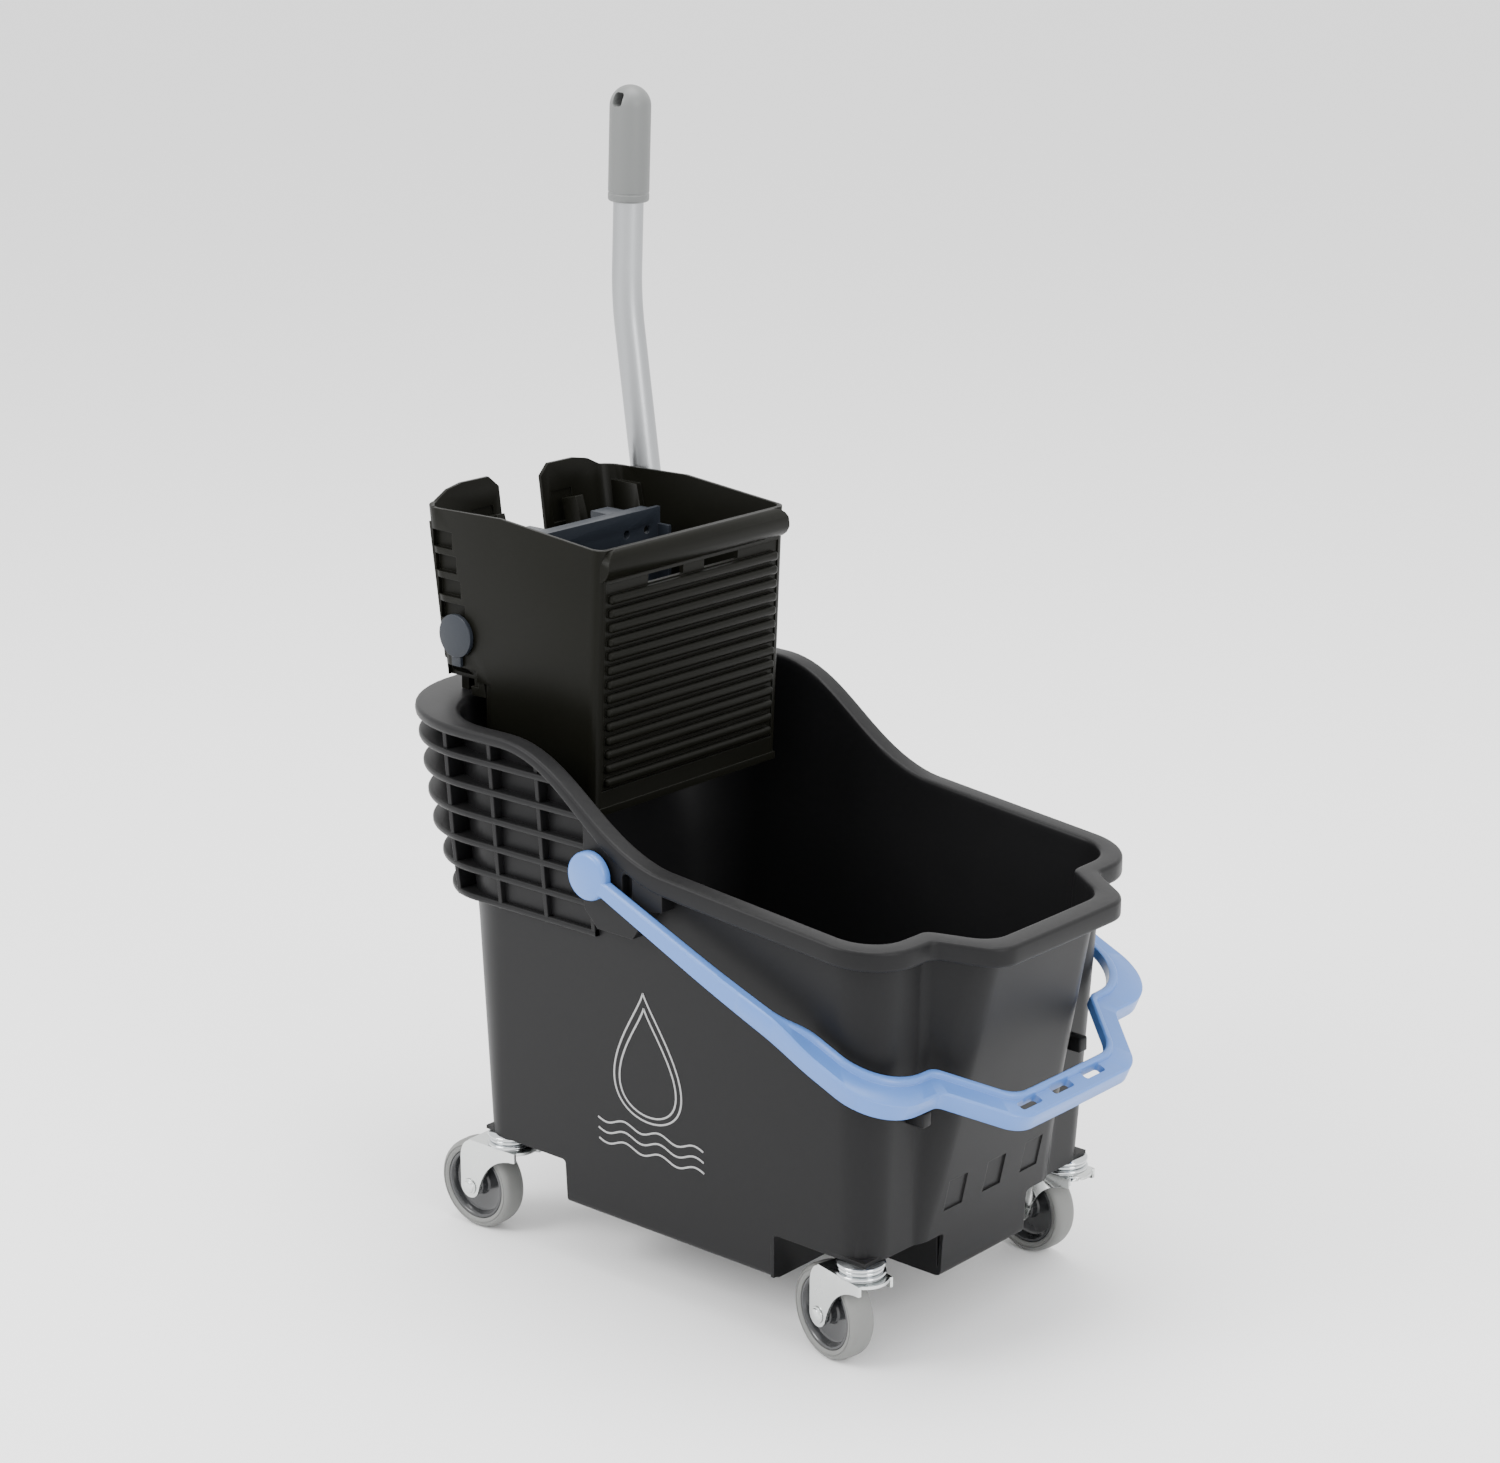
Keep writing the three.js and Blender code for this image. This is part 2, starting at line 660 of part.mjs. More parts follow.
function frontPanel() {
  const { half, top, bottom } = panelOpening(0);
  const slotHeight = 7;
  const ribTop = top - slotHeight;
  const pitch = (ribTop - bottom) / panelRibs;
  const groove = (z) => wringerFace(z) - 1;
  const outline = [[groove(bottom) - panelThickness, bottom], [groove(bottom), bottom]];
  for (let i = 0; i < panelRibs; i += 1) {
    const z = bottom + pitch * i;
    outline.push(
      [groove(z), z + pitch * 0.2],
      [groove(z) + ribRise, z + pitch * 0.42],
      [groove(z) + ribRise, z + pitch * 0.72],
      [groove(z), z + pitch * 0.92],
    );
  }
  outline.push([groove(top), top], [groove(top) - panelThickness, top]);
  const slots = sides.map((side) => box(-200, 0, side * 12, side * 52, ribTop, top + 1));
  return cut(slabAcross(polygon(outline), -half, half), ...slots);
}

function drainFloor() {
  const front = wringerFace(wringerBottom);
  const bottom = wringerBottom + 6 + gap;
  const plate = wringerFoot(wringerWall + gap, bottom, bottom + 3);
  const rows = 3;
  const columns = 6;
  const margin = 24;
  const holes = [];
  for (let i = 0; i < rows; i += 1) {
    for (let j = 0; j < columns; j += 1) {
      const x = blend(wringerFootRear + margin, front - margin, i / (rows - 1));
      const y = (wringerHalfWidth - margin) * blend(-1, 1, j / (columns - 1));
      holes.push(box(x - 8, x + 8, y - 9, y + 9, bottom - 1, bottom + 4));
    }
  }
  return cut(plate, ...holes);
}

function pivotCap() {
  const outside = -(wringerHalfWidth + gap);
  const disc = barAcross(17.5, axleX, axleZ, outside - 4, outside, 28);
  const tab = box(axleX - 5, axleX + 5, outside - 3, outside, axleZ - 25, axleZ - 12);
  const seat = barAcross(axleRadius + runningGap, axleX, axleZ, outside - 2, outside + 1);
  return cut(join(disc, tab), seat);
}

function farBush() {
  const face = wringerHalfWidth + gap;
  return cut(
    barAcross(axleRadius * 2, axleX, axleZ, face, face + bushFlange),
    barAcross(axleRadius + runningGap, axleX, axleZ, face - 1, face + bushFlange + 1),
  );
}

// ---- press and lever ----------------------------------------------------------------

function pressPlate() {
  const back = plateX - plateThickness;
  const sheet = box(back, plateX, -plateHalfWidth, plateHalfWidth, plateBottom, plateTop);
  const folds = sides.map((side) => box(
    back, plateX + 12, side * (plateHalfWidth - 3), side * plateHalfWidth, plateBottom, plateTop - 14,
  ));
  const topHalf = plateHalfWidth - 10;
  const topFold = box(back - 8, plateX, -topHalf, topHalf, plateTop - 3, plateTop);
  const pushPads = sides.map((side) => {
    const y = side * camOffset;
    return box(padBack, back + 1, y - padHalfWidth, y + padHalfWidth, axleZ + padFoot, plateTop - 1);
  });
  const hole = barUp(3.5, 0, 0, -20, 20, 12).rotate([0, 90, 0]);
  const holes = [-66, -42, 42, 66].map((y) => hole.translate([plateX, y, plateTop - 17]));
  return cut(join(sheet, ...folds, topFold, ...pushPads), ...holes);
}

function pressAxle() {
  const nearEnd = -(wringerHalfWidth + 1);
  return barAcross(axleRadius, axleX, axleZ, nearEnd, leverY + socketRadius + 4);
}

// A cam with two leading corners: the lobe starts the plate's stroke and the arm ends it.
function cam(side) {
  const at = (angle, radius) => {
    const turn = THREE.MathUtils.degToRad(angle);
    return [axleX + radius * Math.sin(turn), axleZ + radius * Math.cos(turn)];
  };
  const outline = polygon([
    at(-80, 13), at(-36, 28), at(armLead - 11, armReach), at(armLead, armReach),
    at(armLead + 3, lobeReach), at(lobeLead, lobeReach), at(20, 15), at(80, 13), at(180, 8),
  ]);
  const middle = side * camOffset;
  const half = camThickness / 2;
  const web = slabAcross(outline, middle - half, middle + half);
  const boss = barAcross(14, axleX, axleZ, middle - half - 4, middle + half + 4);
  return cut(join(web, boss), barAcross(axleRadius + gap, axleX, axleZ, middle - 20, middle + 20));
}

function leverPoint(z) {
  const slope = (degrees) => Math.tan(THREE.MathUtils.degToRad(degrees));
  const bendX = axleX - (leverBendZ - axleZ) * slope(leverLean);
  const lean = z < leverBendZ ? -leverLean : leverTopLean;
  return new THREE.Vector3(bendX + (z - leverBendZ) * slope(lean), leverY, z);
}

function leverTube() {
  const bend = [-leverBendRun, 0, leverBendRun].map((run) => leverPoint(leverBendZ + run));
  const path = new THREE.CurvePath();
  path.add(new THREE.LineCurve3(leverPoint(axleZ + 12), bend[0]));
  path.add(new THREE.QuadraticBezierCurve3(...bend));
  path.add(new THREE.LineCurve3(bend[2], leverPoint(gripTopZ - 24)));
  const section = new THREE.Shape();
  section.absarc(0, 0, leverRadius, 0, 2 * Math.PI);
  const bore = new THREE.Path();
  bore.absarc(0, 0, leverRadius - leverTubeWall, 0, 2 * Math.PI);
  section.holes.push(bore);
  const settings = { steps: 12, extrudePath: path, curveSegments: 6 };
  return toSolid(new THREE.ExtrudeGeometry(section, settings));
}

// A turned piece set on the lever's line, with its base at height z.
function onLever(solid, z) {
  const base = leverPoint(z);
  const lean = z < leverBendZ ? -leverLean : leverTopLean;
  return solid.rotate([0, lean, 0]).translate([base.x, base.y, base.z]);
}

function leverSocket() {
  const inner = leverRadius + gap;
  const sleeve = onLever(turned([
    [0, -16], [socketRadius, -16], [socketRadius, 62], [inner, 62], [inner, 10], [0, 10],
  ], 20), axleZ);
  const bore = barAcross(axleRadius + gap, axleX, axleZ, leverY - 40, leverY + 40);
  return cut(sleeve, bore);
}

function leverGrip() {
  const inner = leverRadius + gap;
  const height = gripTopZ - gripBottomZ;
  const profile = [[inner, 0], [gripRadius - 1, 0], [gripRadius, 2], [gripRadius, height - gripRadius]];
  const domeSteps = 5;
  for (let i = 1; i < domeSteps; i += 1) {
    const angle = (Math.PI / 2) * (i / domeSteps);
    profile.push([gripRadius * Math.cos(angle), height - gripRadius + gripRadius * Math.sin(angle)]);
  }
  profile.push([0, height], [0, height - 20], [inner, height - 20]);
  profile.push([inner, 0]);
  const hangHole = box(-5, 5, -40, 40, height - 16, height - 6);
  return onLever(cut(turned(profile, 20), hangHole), gripBottomZ);
}

function leverNut() {
  const face = leverY + socketRadius + gap;
  return cut(
    barAcross(10, axleX, axleZ, face, face + 6, 6),
    barAcross(axleRadius + gap, axleX, axleZ, face - 1, face + 3.7),
  );
}

// ---- castors ------------------------------------------------------------------------
// Each is built with its swivel axis on Z and its wheel trailing towards -X.

const legInside = tyreWidth / 2 + forkClearance;

function wheelAbout(solid) {
  return solid.rotate([90, 0, 0]).translate([-trail, 0, wheelRadius]);
}

function tyre() {
  const segments = 28;
  const reach = wheelRadius / Math.cos(Math.PI / segments);
  const half = tyreWidth / 2;
  const inner = hubRadius + gap;
  const profile = [
    [inner, -half + 1], [reach - 4, -half], [reach, -half + 5],
    [reach, half - 5], [reach - 4, half], [inner, half - 1], [inner, -half + 1],
  ];
  const halfFacet = 180 / segments;
  return wheelAbout(turned(profile, segments).rotate([0, 0, 90 + halfFacet]));
}

function hub() {
  const half = tyreWidth / 2 - 1.5;
  const bore = axleBoltRadius + runningGap;
  const dish = 3;
  const boss = 9;
  const lower = [
    [bore, -half - 1], [boss, -half - 1], [boss, -dish], [hubRadius - 4, -dish],
    [hubRadius - 3, -half], [hubRadius, -half],
  ];
  const upper = lower.toReversed().map(([r, h]) => [r, -h]);
  return wheelAbout(turned([...lower, ...upper, lower[0]], 16));
}

function axleBolt() {
  const headUnder = legInside + forkSheet + gap;
  const headTop = headUnder + 2.7;
  const upper = [
    [axleBoltRadius, headUnder], [axleBoltRadius + 2.5, headUnder],
    [axleBoltRadius + 1, headTop], [0, headTop],
  ];
  const lower = upper.toReversed().map(([r, h]) => [r, -h]);
  return wheelAbout(turned([...lower, ...upper], 8));
}

function fork() {
  const leg = new THREE.Shape();
  leg.moveTo(18, forkTop);
  leg.lineTo(18, forkTop - 8);
  const eye = 9.5;
  const eyeStart = -0.3;
  const [eyeX, eyeZ] = [-trail + eye * Math.cos(eyeStart), wheelRadius + eye * Math.sin(eyeStart)];
  leg.quadraticCurveTo(-14, forkTop - 10, eyeX, eyeZ);
  leg.absarc(-trail, wheelRadius, eye, eyeStart, Math.PI, true);
  leg.lineTo(-trail - eye, forkTop - 16);
  leg.quadraticCurveTo(-trail - 8, forkTop, -trail + 6, forkTop);
  const halfWidth = legInside + forkSheet;
  const legs = sides.map((side) => slabAcross(leg, ...span(side, legInside, halfWidth), 3));
  const crownShape = new THREE.Shape();
  crownShape.moveTo(-trail, -halfWidth);
  crownShape.lineTo(8, -halfWidth);
  crownShape.absarc(4, 0, raceRadius, -0.95, 0.95);
  crownShape.lineTo(8, halfWidth);
  crownShape.lineTo(-trail, halfWidth);
  const settings = { depth: forkSheet, bevelEnabled: false, curveSegments: 5 };
  const crown = new THREE.ExtrudeGeometry(crownShape, settings);
  crown.translate(0, 0, forkTop - forkSheet);
  const holes = [
    barUp(stemRadius + gap, 0, 0, forkTop - 20, forkTop + 20, 10),
    barAcross(axleBoltRadius + gap, -trail, wheelRadius, -halfWidth - 5, halfWidth + 5, 8),
  ];
  return cut(join(toSolid(crown), ...legs), ...holes);
}

function ballRace() {
  const base = forkTop + gap;
  const top = recessCeiling - gap;
  const bore = stemRadius + gap;
  return turned([
    [bore, base], [raceRadius - 1, base], [raceRadius, base + 3], [raceRadius - 3, base + 5],
    [raceRadius - 1, base + 7], [raceRadius - 4, top], [bore, top], [bore, base],
  ], 16);
}

function swivelStem() {
  const under = forkTop - forkSheet - gap;
  return turned([
    [0, under - 3], [stemRadius + 2.5, under - 3], [stemRadius + 3.5, under], [stemRadius, under],
    [stemRadius, recessCeiling + stemLength - 2], [stemRadius - 1, recessCeiling + stemLength - 1],
    [0, recessCeiling + stemLength - 1],
  ], 10);
}

// ---- assembly -----------------------------------------------------------------------

const finishes = {
  charcoal: { color: 0x333336, roughness: 0.5, metalness: 0 },
  black: { color: 0x24241f, roughness: 0.45, metalness: 0 },
  slate: { color: 0x3a3e47, roughness: 0.5, metalness: 0 },
  blue: { color: 0x7aa0d8, roughness: 0.4, metalness: 0 },
  grey: { color: 0x7d807f, roughness: 0.55, metalness: 0 },
  steel: { color: 0xb9bcc0, roughness: 0.3, metalness: 1 },
  zinc: { color: 0xd4d8d6, roughness: 0.3, metalness: 0.9 },
  tyreGrey: { color: 0x9a9b98, roughness: 0.7, metalness: 0 },
  hubBlack: { color: 0x2c2e30, roughness: 0.4, metalness: 0 },
};

function piece(name, solid, finish) {
  const mesh = new THREE.Mesh(toGeometry(solid), new THREE.MeshStandardMaterial(finishes[finish]));
  mesh.name = name;
  return mesh;
}

const bail = new THREE.Group();
bail.position.set(bailPivotX, 0, bailPivotZ);
bail.rotation.y = THREE.MathUtils.degToRad(bailDroop);
bail.add(piece('bail_handle', bailHandle(), 'blue'));

const wringer = new THREE.Group();
wringer.add(
  piece('wringer_frame', wringerFrame(), 'black'),
  piece('ribbed_front_panel', frontPanel(), 'black'),
  piece('drain_floor', drainFloor(), 'black'),
  piece('near_pivot_cap', pivotCap(), 'slate'),
  piece('far_pivot_bush', farBush(), 'slate'),
  piece('press_plate', pressPlate(), 'slate'),
  piece('press_axle', pressAxle(), 'steel'),
  piece('near_cam', cam(-1), 'black'),
  piece('far_cam', cam(1), 'black'),
  piece('lever_socket', leverSocket(), 'black'),
  piece('lever_nut', leverNut(), 'steel'),
  piece('lever_tube', leverTube(), 'steel'),
  piece('lever_grip', leverGrip(), 'grey'),
);

function castor({ name, x, y, yaw }) {
  const group = new THREE.Group();
  group.position.set(x, y, 0);
  group.rotation.z = THREE.MathUtils.degToRad(yaw);
  group.add(
    piece(`${name}_stem`, swivelStem(), 'zinc'),
    piece(`${name}_ball_race`, ballRace(), 'zinc'),
    piece(`${name}_fork`, fork(), 'zinc'),
    piece(`${name}_axle_bolt`, axleBolt(), 'zinc'),
    piece(`${name}_hub`, hub(), 'hubBlack'),
    piece(`${name}_tyre`, tyre(), 'tyreGrey'),
  );
  return group;
}

const assembly = new THREE.Group();
assembly.add(piece('bucket_shell', bucketShell(), 'charcoal'), bail, wringer, ...castorSpots.map(castor));

// The origin goes to the ground under the middle of the whole object.
const centre = new THREE.Box3().setFromObject(assembly, true).getCenter(new THREE.Vector3());
assembly.position.set(-centre.x, -centre.y, 0);

const model = new THREE.Group();
model.add(assembly);

export default model;
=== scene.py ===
import math
import bpy
import bmesh
from mathutils import Matrix, Vector


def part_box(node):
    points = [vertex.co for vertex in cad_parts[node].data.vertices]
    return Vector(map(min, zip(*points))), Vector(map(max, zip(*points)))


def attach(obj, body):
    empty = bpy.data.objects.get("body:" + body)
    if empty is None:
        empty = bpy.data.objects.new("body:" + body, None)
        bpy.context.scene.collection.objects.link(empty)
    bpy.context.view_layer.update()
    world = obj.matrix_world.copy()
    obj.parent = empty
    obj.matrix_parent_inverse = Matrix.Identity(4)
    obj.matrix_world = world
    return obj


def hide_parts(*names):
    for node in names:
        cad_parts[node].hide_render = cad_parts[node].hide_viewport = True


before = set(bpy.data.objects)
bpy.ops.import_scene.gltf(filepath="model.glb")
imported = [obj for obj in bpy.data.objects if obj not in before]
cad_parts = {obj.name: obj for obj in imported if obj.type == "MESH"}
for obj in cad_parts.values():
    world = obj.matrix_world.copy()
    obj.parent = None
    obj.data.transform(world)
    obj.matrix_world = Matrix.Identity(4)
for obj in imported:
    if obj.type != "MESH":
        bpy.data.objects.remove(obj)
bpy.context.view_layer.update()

rimReach = 304  # mm, from the middle of the sump back to the edge of the rim
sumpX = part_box("bucket_shell")[0][0] * 1000 + rimReach  # mm, the middle of the sump in the shared frame

# Shapes are drawn in millimetres from the middle of the sump, then put in the frame in metres.


def blend(a, b, t):
    return a + (b - a) * t


def ease(t):
    s = min(1.0, max(0.0, t))
    return s * s * (3 - 2 * s)


def sheetOf(bm, columns, rows, pointAt):
    # a grid whose corner (i, j) is moved to pointAt(i, j)
    made = bmesh.ops.create_grid(bm, x_segments=columns, y_segments=rows, size=1.0)["verts"]
    for v in made:
        i = round((v.co.x + 1) / 2 * columns)
        j = round((v.co.y + 1) / 2 * rows)
        v.co = pointAt(i, j)


def closeUp(bm, gap=0.01):
    # joins the seam, fills open ends and turns the faces out
    bmesh.ops.remove_doubles(bm, verts=bm.verts[:], dist=gap)
    bmesh.ops.dissolve_degenerate(bm, dist=gap / 10, edges=bm.edges[:])
    openEdges = [e for e in bm.edges if e.is_boundary]
    if openEdges:
        bmesh.ops.holes_fill(bm, edges=openEdges, sides=0)
    bmesh.ops.recalc_face_normals(bm, faces=bm.faces[:])


def turnedBody(bm, profile, steps):
    # spins a closed outline of (radius, height) about Z; an edge on the axis is left out
    verts = [bm.verts.new((r, 0, h)) for r, h in profile]
    pairs = zip(verts, verts[1:] + verts[:1])
    edges = [bm.edges.new((a, b)) for a, b in pairs if a.co.x > 0 or b.co.x > 0]
    bmesh.ops.spin(bm, geom=verts + edges, cent=(0, 0, 0), axis=(0, 0, 1), angle=2 * math.pi,
                   steps=steps, use_merge=True)
    closeUp(bm)


def plateOf(bm, outline, depth, axis):
    # an outline pushed out by depth along an axis
    verts = [bm.verts.new(p) for p in outline]
    face = bm.faces.new(verts)
    made = bmesh.ops.extrude_face_region(bm, geom=[face])["geom"]
    moved = [v for v in made if isinstance(v, bmesh.types.BMVert)]
    bmesh.ops.translate(bm, verts=moved, vec=Vector(axis) * depth)
    bmesh.ops.recalc_face_normals(bm, faces=bm.faces[:])


def block(bm, low, high, rounding=0.0, segments=3):
    # a box between two corners, with rounded edges
    made = bmesh.ops.create_cube(bm, size=1.0)["verts"]
    size = Vector(high) - Vector(low)
    bmesh.ops.scale(bm, verts=made, vec=size)
    bmesh.ops.translate(bm, verts=made, vec=(Vector(high) + Vector(low)) / 2)
    if rounding:
        edges = list({e for v in made for e in v.link_edges})
        bmesh.ops.bevel(bm, geom=edges, offset=rounding, offset_type="OFFSET", segments=segments,
                        affect="EDGES", profile=0.5, material=-1)


def span(side, inner, outer):
    # a stretch of Y on one side, lower end first
    return (inner, outer) if side > 0 else (-outer, -inner)


def sideBlock(bm, side, across, low, high, rounding):
    # a block on one side; low and high give X and Z
    y0, y1 = span(side, *across)
    block(bm, (low[0], y0, low[1]), (high[0], y1, high[1]), rounding)


def bowed(start, pull, end, steps):
    # points of a curve from start to end that is drawn towards pull
    points = []
    for k in range(steps + 1):
        t = k / steps
        points.append(tuple(a * (1 - t) ** 2 + m * 2 * t * (1 - t) + b * t * t
                            for a, m, b in zip(start, pull, end)))
    return points


def linked(name, data):
    made = bpy.data.objects.new(name, data)
    bpy.context.scene.collection.objects.link(made)
    return made


def meshObject(bm, name):
    mesh = bpy.data.meshes.new(name)
    bm.to_mesh(mesh)
    bm.free()
    mesh.polygons.foreach_set("use_smooth", [True] * len(mesh.polygons))
    return linked(name, mesh)


def objectOf(bm, name, seat=None):
    # a drawn shape, moved to its seat and then into the frame
    if seat is not None:
        bmesh.ops.transform(bm, matrix=seat, verts=bm.verts[:])
    toFrame = Matrix.Scale(0.001, 4) @ Matrix.Translation((sumpX, 0, 0))
    bmesh.ops.transform(bm, matrix=toFrame, verts=bm.verts[:])
    return meshObject(bm, name)


def carve(piece, tool, operation="DIFFERENCE"):
    # one boolean, applied, and the tool thrown away
    step = piece.modifiers.new("carve", "BOOLEAN")
    step.operation = operation
    step.solver = "EXACT"
    step.object = tool
    bpy.context.view_layer.update()
    graph = bpy.context.evaluated_depsgraph_get()
    result = bpy.data.meshes.new_from_object(piece.evaluated_get(graph))
    piece.modifiers.remove(step)
    old = piece.data
    piece.data = result
    result.name = old.name
    bpy.data.meshes.remove(old)
    bpy.data.objects.remove(tool)


def sharpen(piece, angle):
    # smooth shading that breaks at the hard edges
    bm = bmesh.new()
    bm.from_mesh(piece.data)
    bmesh.ops.remove_doubles(bm, verts=bm.verts[:], dist=1e-6)
    for f in bm.faces:
        f.smooth = True
    for e in bm.edges:
        e.smooth = len(e.link_faces) == 2 and e.calc_face_angle(0.0) < math.radians(angle)
    bm.to_mesh(piece.data)
    bm.free()


def roundEdges(piece, width, segments=3):
    step = piece.modifiers.new("rounded edges", "BEVEL")
    step.width = width * 0.001
    step.segments = segments
    step.limit_method = "ANGLE"
    step.angle_limit = math.radians(35)
    step.harden_normals = True
    step.use_clamp_overlap = True


def settle(piece, body, material, nodes=()):
    piece.data.materials.clear()
    piece.data.materials.append(material)
    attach(piece, body)
    if nodes:
        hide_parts(*nodes)
    return piece


def softened(node, name, body, material, width):
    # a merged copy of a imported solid, with its flats cleaned and its edges rounded
    bm = bmesh.new()
    bm.from_mesh(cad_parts[node].data)
    bmesh.ops.remove_doubles(bm, verts=bm.verts[:], dist=2e-6)
    bmesh.ops.dissolve_limit(bm, angle_limit=math.radians(1.5), verts=bm.verts[:], edges=bm.edges[:])
    piece = meshObject(bm, name)
    roundEdges(piece, width)
    settle(piece, body, material, (node,))


# Finishes. Each group gives masks, colours or normals; the shaders stay in the materials.


def newGroup(name, inputs, outputs):
    group = bpy.data.node_groups.new(name, "ShaderNodeTree")
    for label, kind, value in inputs:
        socket = group.interface.new_socket(name=label, in_out="INPUT", socket_type=kind)
        socket.default_value = value
    for label, kind in outputs:
        group.interface.new_socket(name=label, in_out="OUTPUT", socket_type=kind)
    return group, group.nodes.new("NodeGroupInput"), group.nodes.new("NodeGroupOutput")


def calc(tree, operation, *values):
    node = tree.nodes.new("ShaderNodeMath")
    node.operation = operation
    for socket, value in zip(node.inputs, values):
        if isinstance(value, (int, float)):
            socket.default_value = value
        else:
            tree.links.new(value, socket)
    return node.outputs[0]


def mixColours(tree, factor, a, b):
    node = tree.nodes.new("ShaderNodeMix")
    node.data_type = "RGBA"
    for socket, value in zip((node.inputs[0], node.inputs[6], node.inputs[7]), (factor, a, b)):
        if isinstance(value, (int, float, tuple)):
            socket.default_value = value
        else:
            tree.links.new(value, socket)
    return node.outputs[2]


def noiseAt(tree, where, scale, detail=3.0, stretch=None):
    if stretch:
        mapping = tree.nodes.new("ShaderNodeMapping")
        mapping.inputs["Scale"].default_value = stretch
        tree.links.new(where, mapping.inputs["Vector"])
        where = mapping.outputs[0]
    noise = tree.nodes.new("ShaderNodeTexNoise")
    tree.links.new(where, noise.inputs["Vector"])
    noise.inputs["Detail"].default_value = detail
    if isinstance(scale, (int, float)):
        noise.inputs["Scale"].default_value = scale
    else:
        tree.links.new(scale, noise.inputs["Scale"])
    return noise.outputs[0]


def makeEdgeWear():
    # bare patches along the edges, and normals that round them
    group, take, give = newGroup(
        "edgeWear", [("Radius", "NodeSocketFloat", 0.001), ("Patchiness", "NodeSocketFloat", 90.0)],
        [("Normal", "NodeSocketVector"), ("Mask", "NodeSocketFloat")])
    link = group.links.new
    rounded = group.nodes.new("ShaderNodeBevel")
    rounded.samples = 4
    link(take.outputs["Radius"], rounded.inputs["Radius"])
    surface = group.nodes.new("ShaderNodeNewGeometry")
    facing = group.nodes.new("ShaderNodeVectorMath")
    facing.operation = "DOT_PRODUCT"
    link(rounded.outputs[0], facing.inputs[0])
    link(surface.outputs["Normal"], facing.inputs[1])
    edge = calc(group, "SUBTRACT", 1.0, facing.outputs["Value"])
    coords = group.nodes.new("ShaderNodeTexCoord").outputs["Object"]
    patches = noiseAt(group, coords, take.outputs["Patchiness"])
    edgeGain = 9.0
    worn = calc(group, "MULTIPLY", calc(group, "MULTIPLY", edge, edgeGain), patches)
    clamp = group.nodes.new("ShaderNodeClamp")
    link(worn, clamp.inputs[0])
    link(rounded.outputs[0], give.inputs["Normal"])
    link(clamp.outputs[0], give.inputs["Mask"])
    return group


def makeMouldedGrain():
    # fine grain over slow waves, for relief and for mottling
    group, take, give = newGroup(
        "mouldedGrain", [("Grain", "NodeSocketFloat", 900.0), ("Waviness", "NodeSocketFloat", 14.0)],
        [("Height", "NodeSocketFloat"), ("Mottle", "NodeSocketFloat")])
    coords = group.nodes.new("ShaderNodeTexCoord").outputs["Object"]
    fine = noiseAt(group, coords, take.outputs["Grain"], 2.0)
    slow = noiseAt(group, coords, take.outputs["Waviness"], 2.0)
    height = calc(group, "ADD", calc(group, "MULTIPLY", fine, 0.35), calc(group, "MULTIPLY", slow, 0.65))
    group.links.new(height, give.inputs["Height"])
    group.links.new(slow, give.inputs["Mottle"])
    return group


def makeDust():
    # dust that gathers in clouds and specks, most of it on what faces upwards
    group, take, give = newGroup(
        "dust", [("Colour", "NodeSocketColor", (0.5, 0.5, 0.5, 1)), ("Amount", "NodeSocketFloat", 0.1)],
        [("Colour", "NodeSocketColor")])
    coords = group.nodes.new("ShaderNodeTexCoord").outputs["Object"]
    cloud = noiseAt(group, coords, 7.0, 4.0)
    specks = noiseAt(group, coords, 260.0, 2.0)
    surface = group.nodes.new("ShaderNodeNewGeometry")
    split = group.nodes.new("ShaderNodeSeparateXYZ")
    group.links.new(surface.outputs["Normal"], split.inputs[0])
    onSides = 0.15
    upward = calc(group, "MAXIMUM", split.outputs[2], onSides)
    mask = calc(group, "MULTIPLY", calc(group, "MULTIPLY", cloud, specks), upward)
    mask = calc(group, "MULTIPLY", mask, calc(group, "MULTIPLY", take.outputs["Amount"], 3.0))
    dustColour = (0.42, 0.41, 0.39, 1)
    coloured = mixColours(group, mask, take.outputs["Colour"], dustColour)
    group.links.new(coloured, give.inputs["Colour"])
    return group


edgeWear = makeEdgeWear()
mouldedGrain = makeMouldedGrain()
dust = makeDust()


def groupNode(tree, group, **values):
    node = tree.nodes.new("ShaderNodeGroup")
    node.node_tree = group
    for label, value in values.items():
        node.inputs[label].default_value = value
    return node


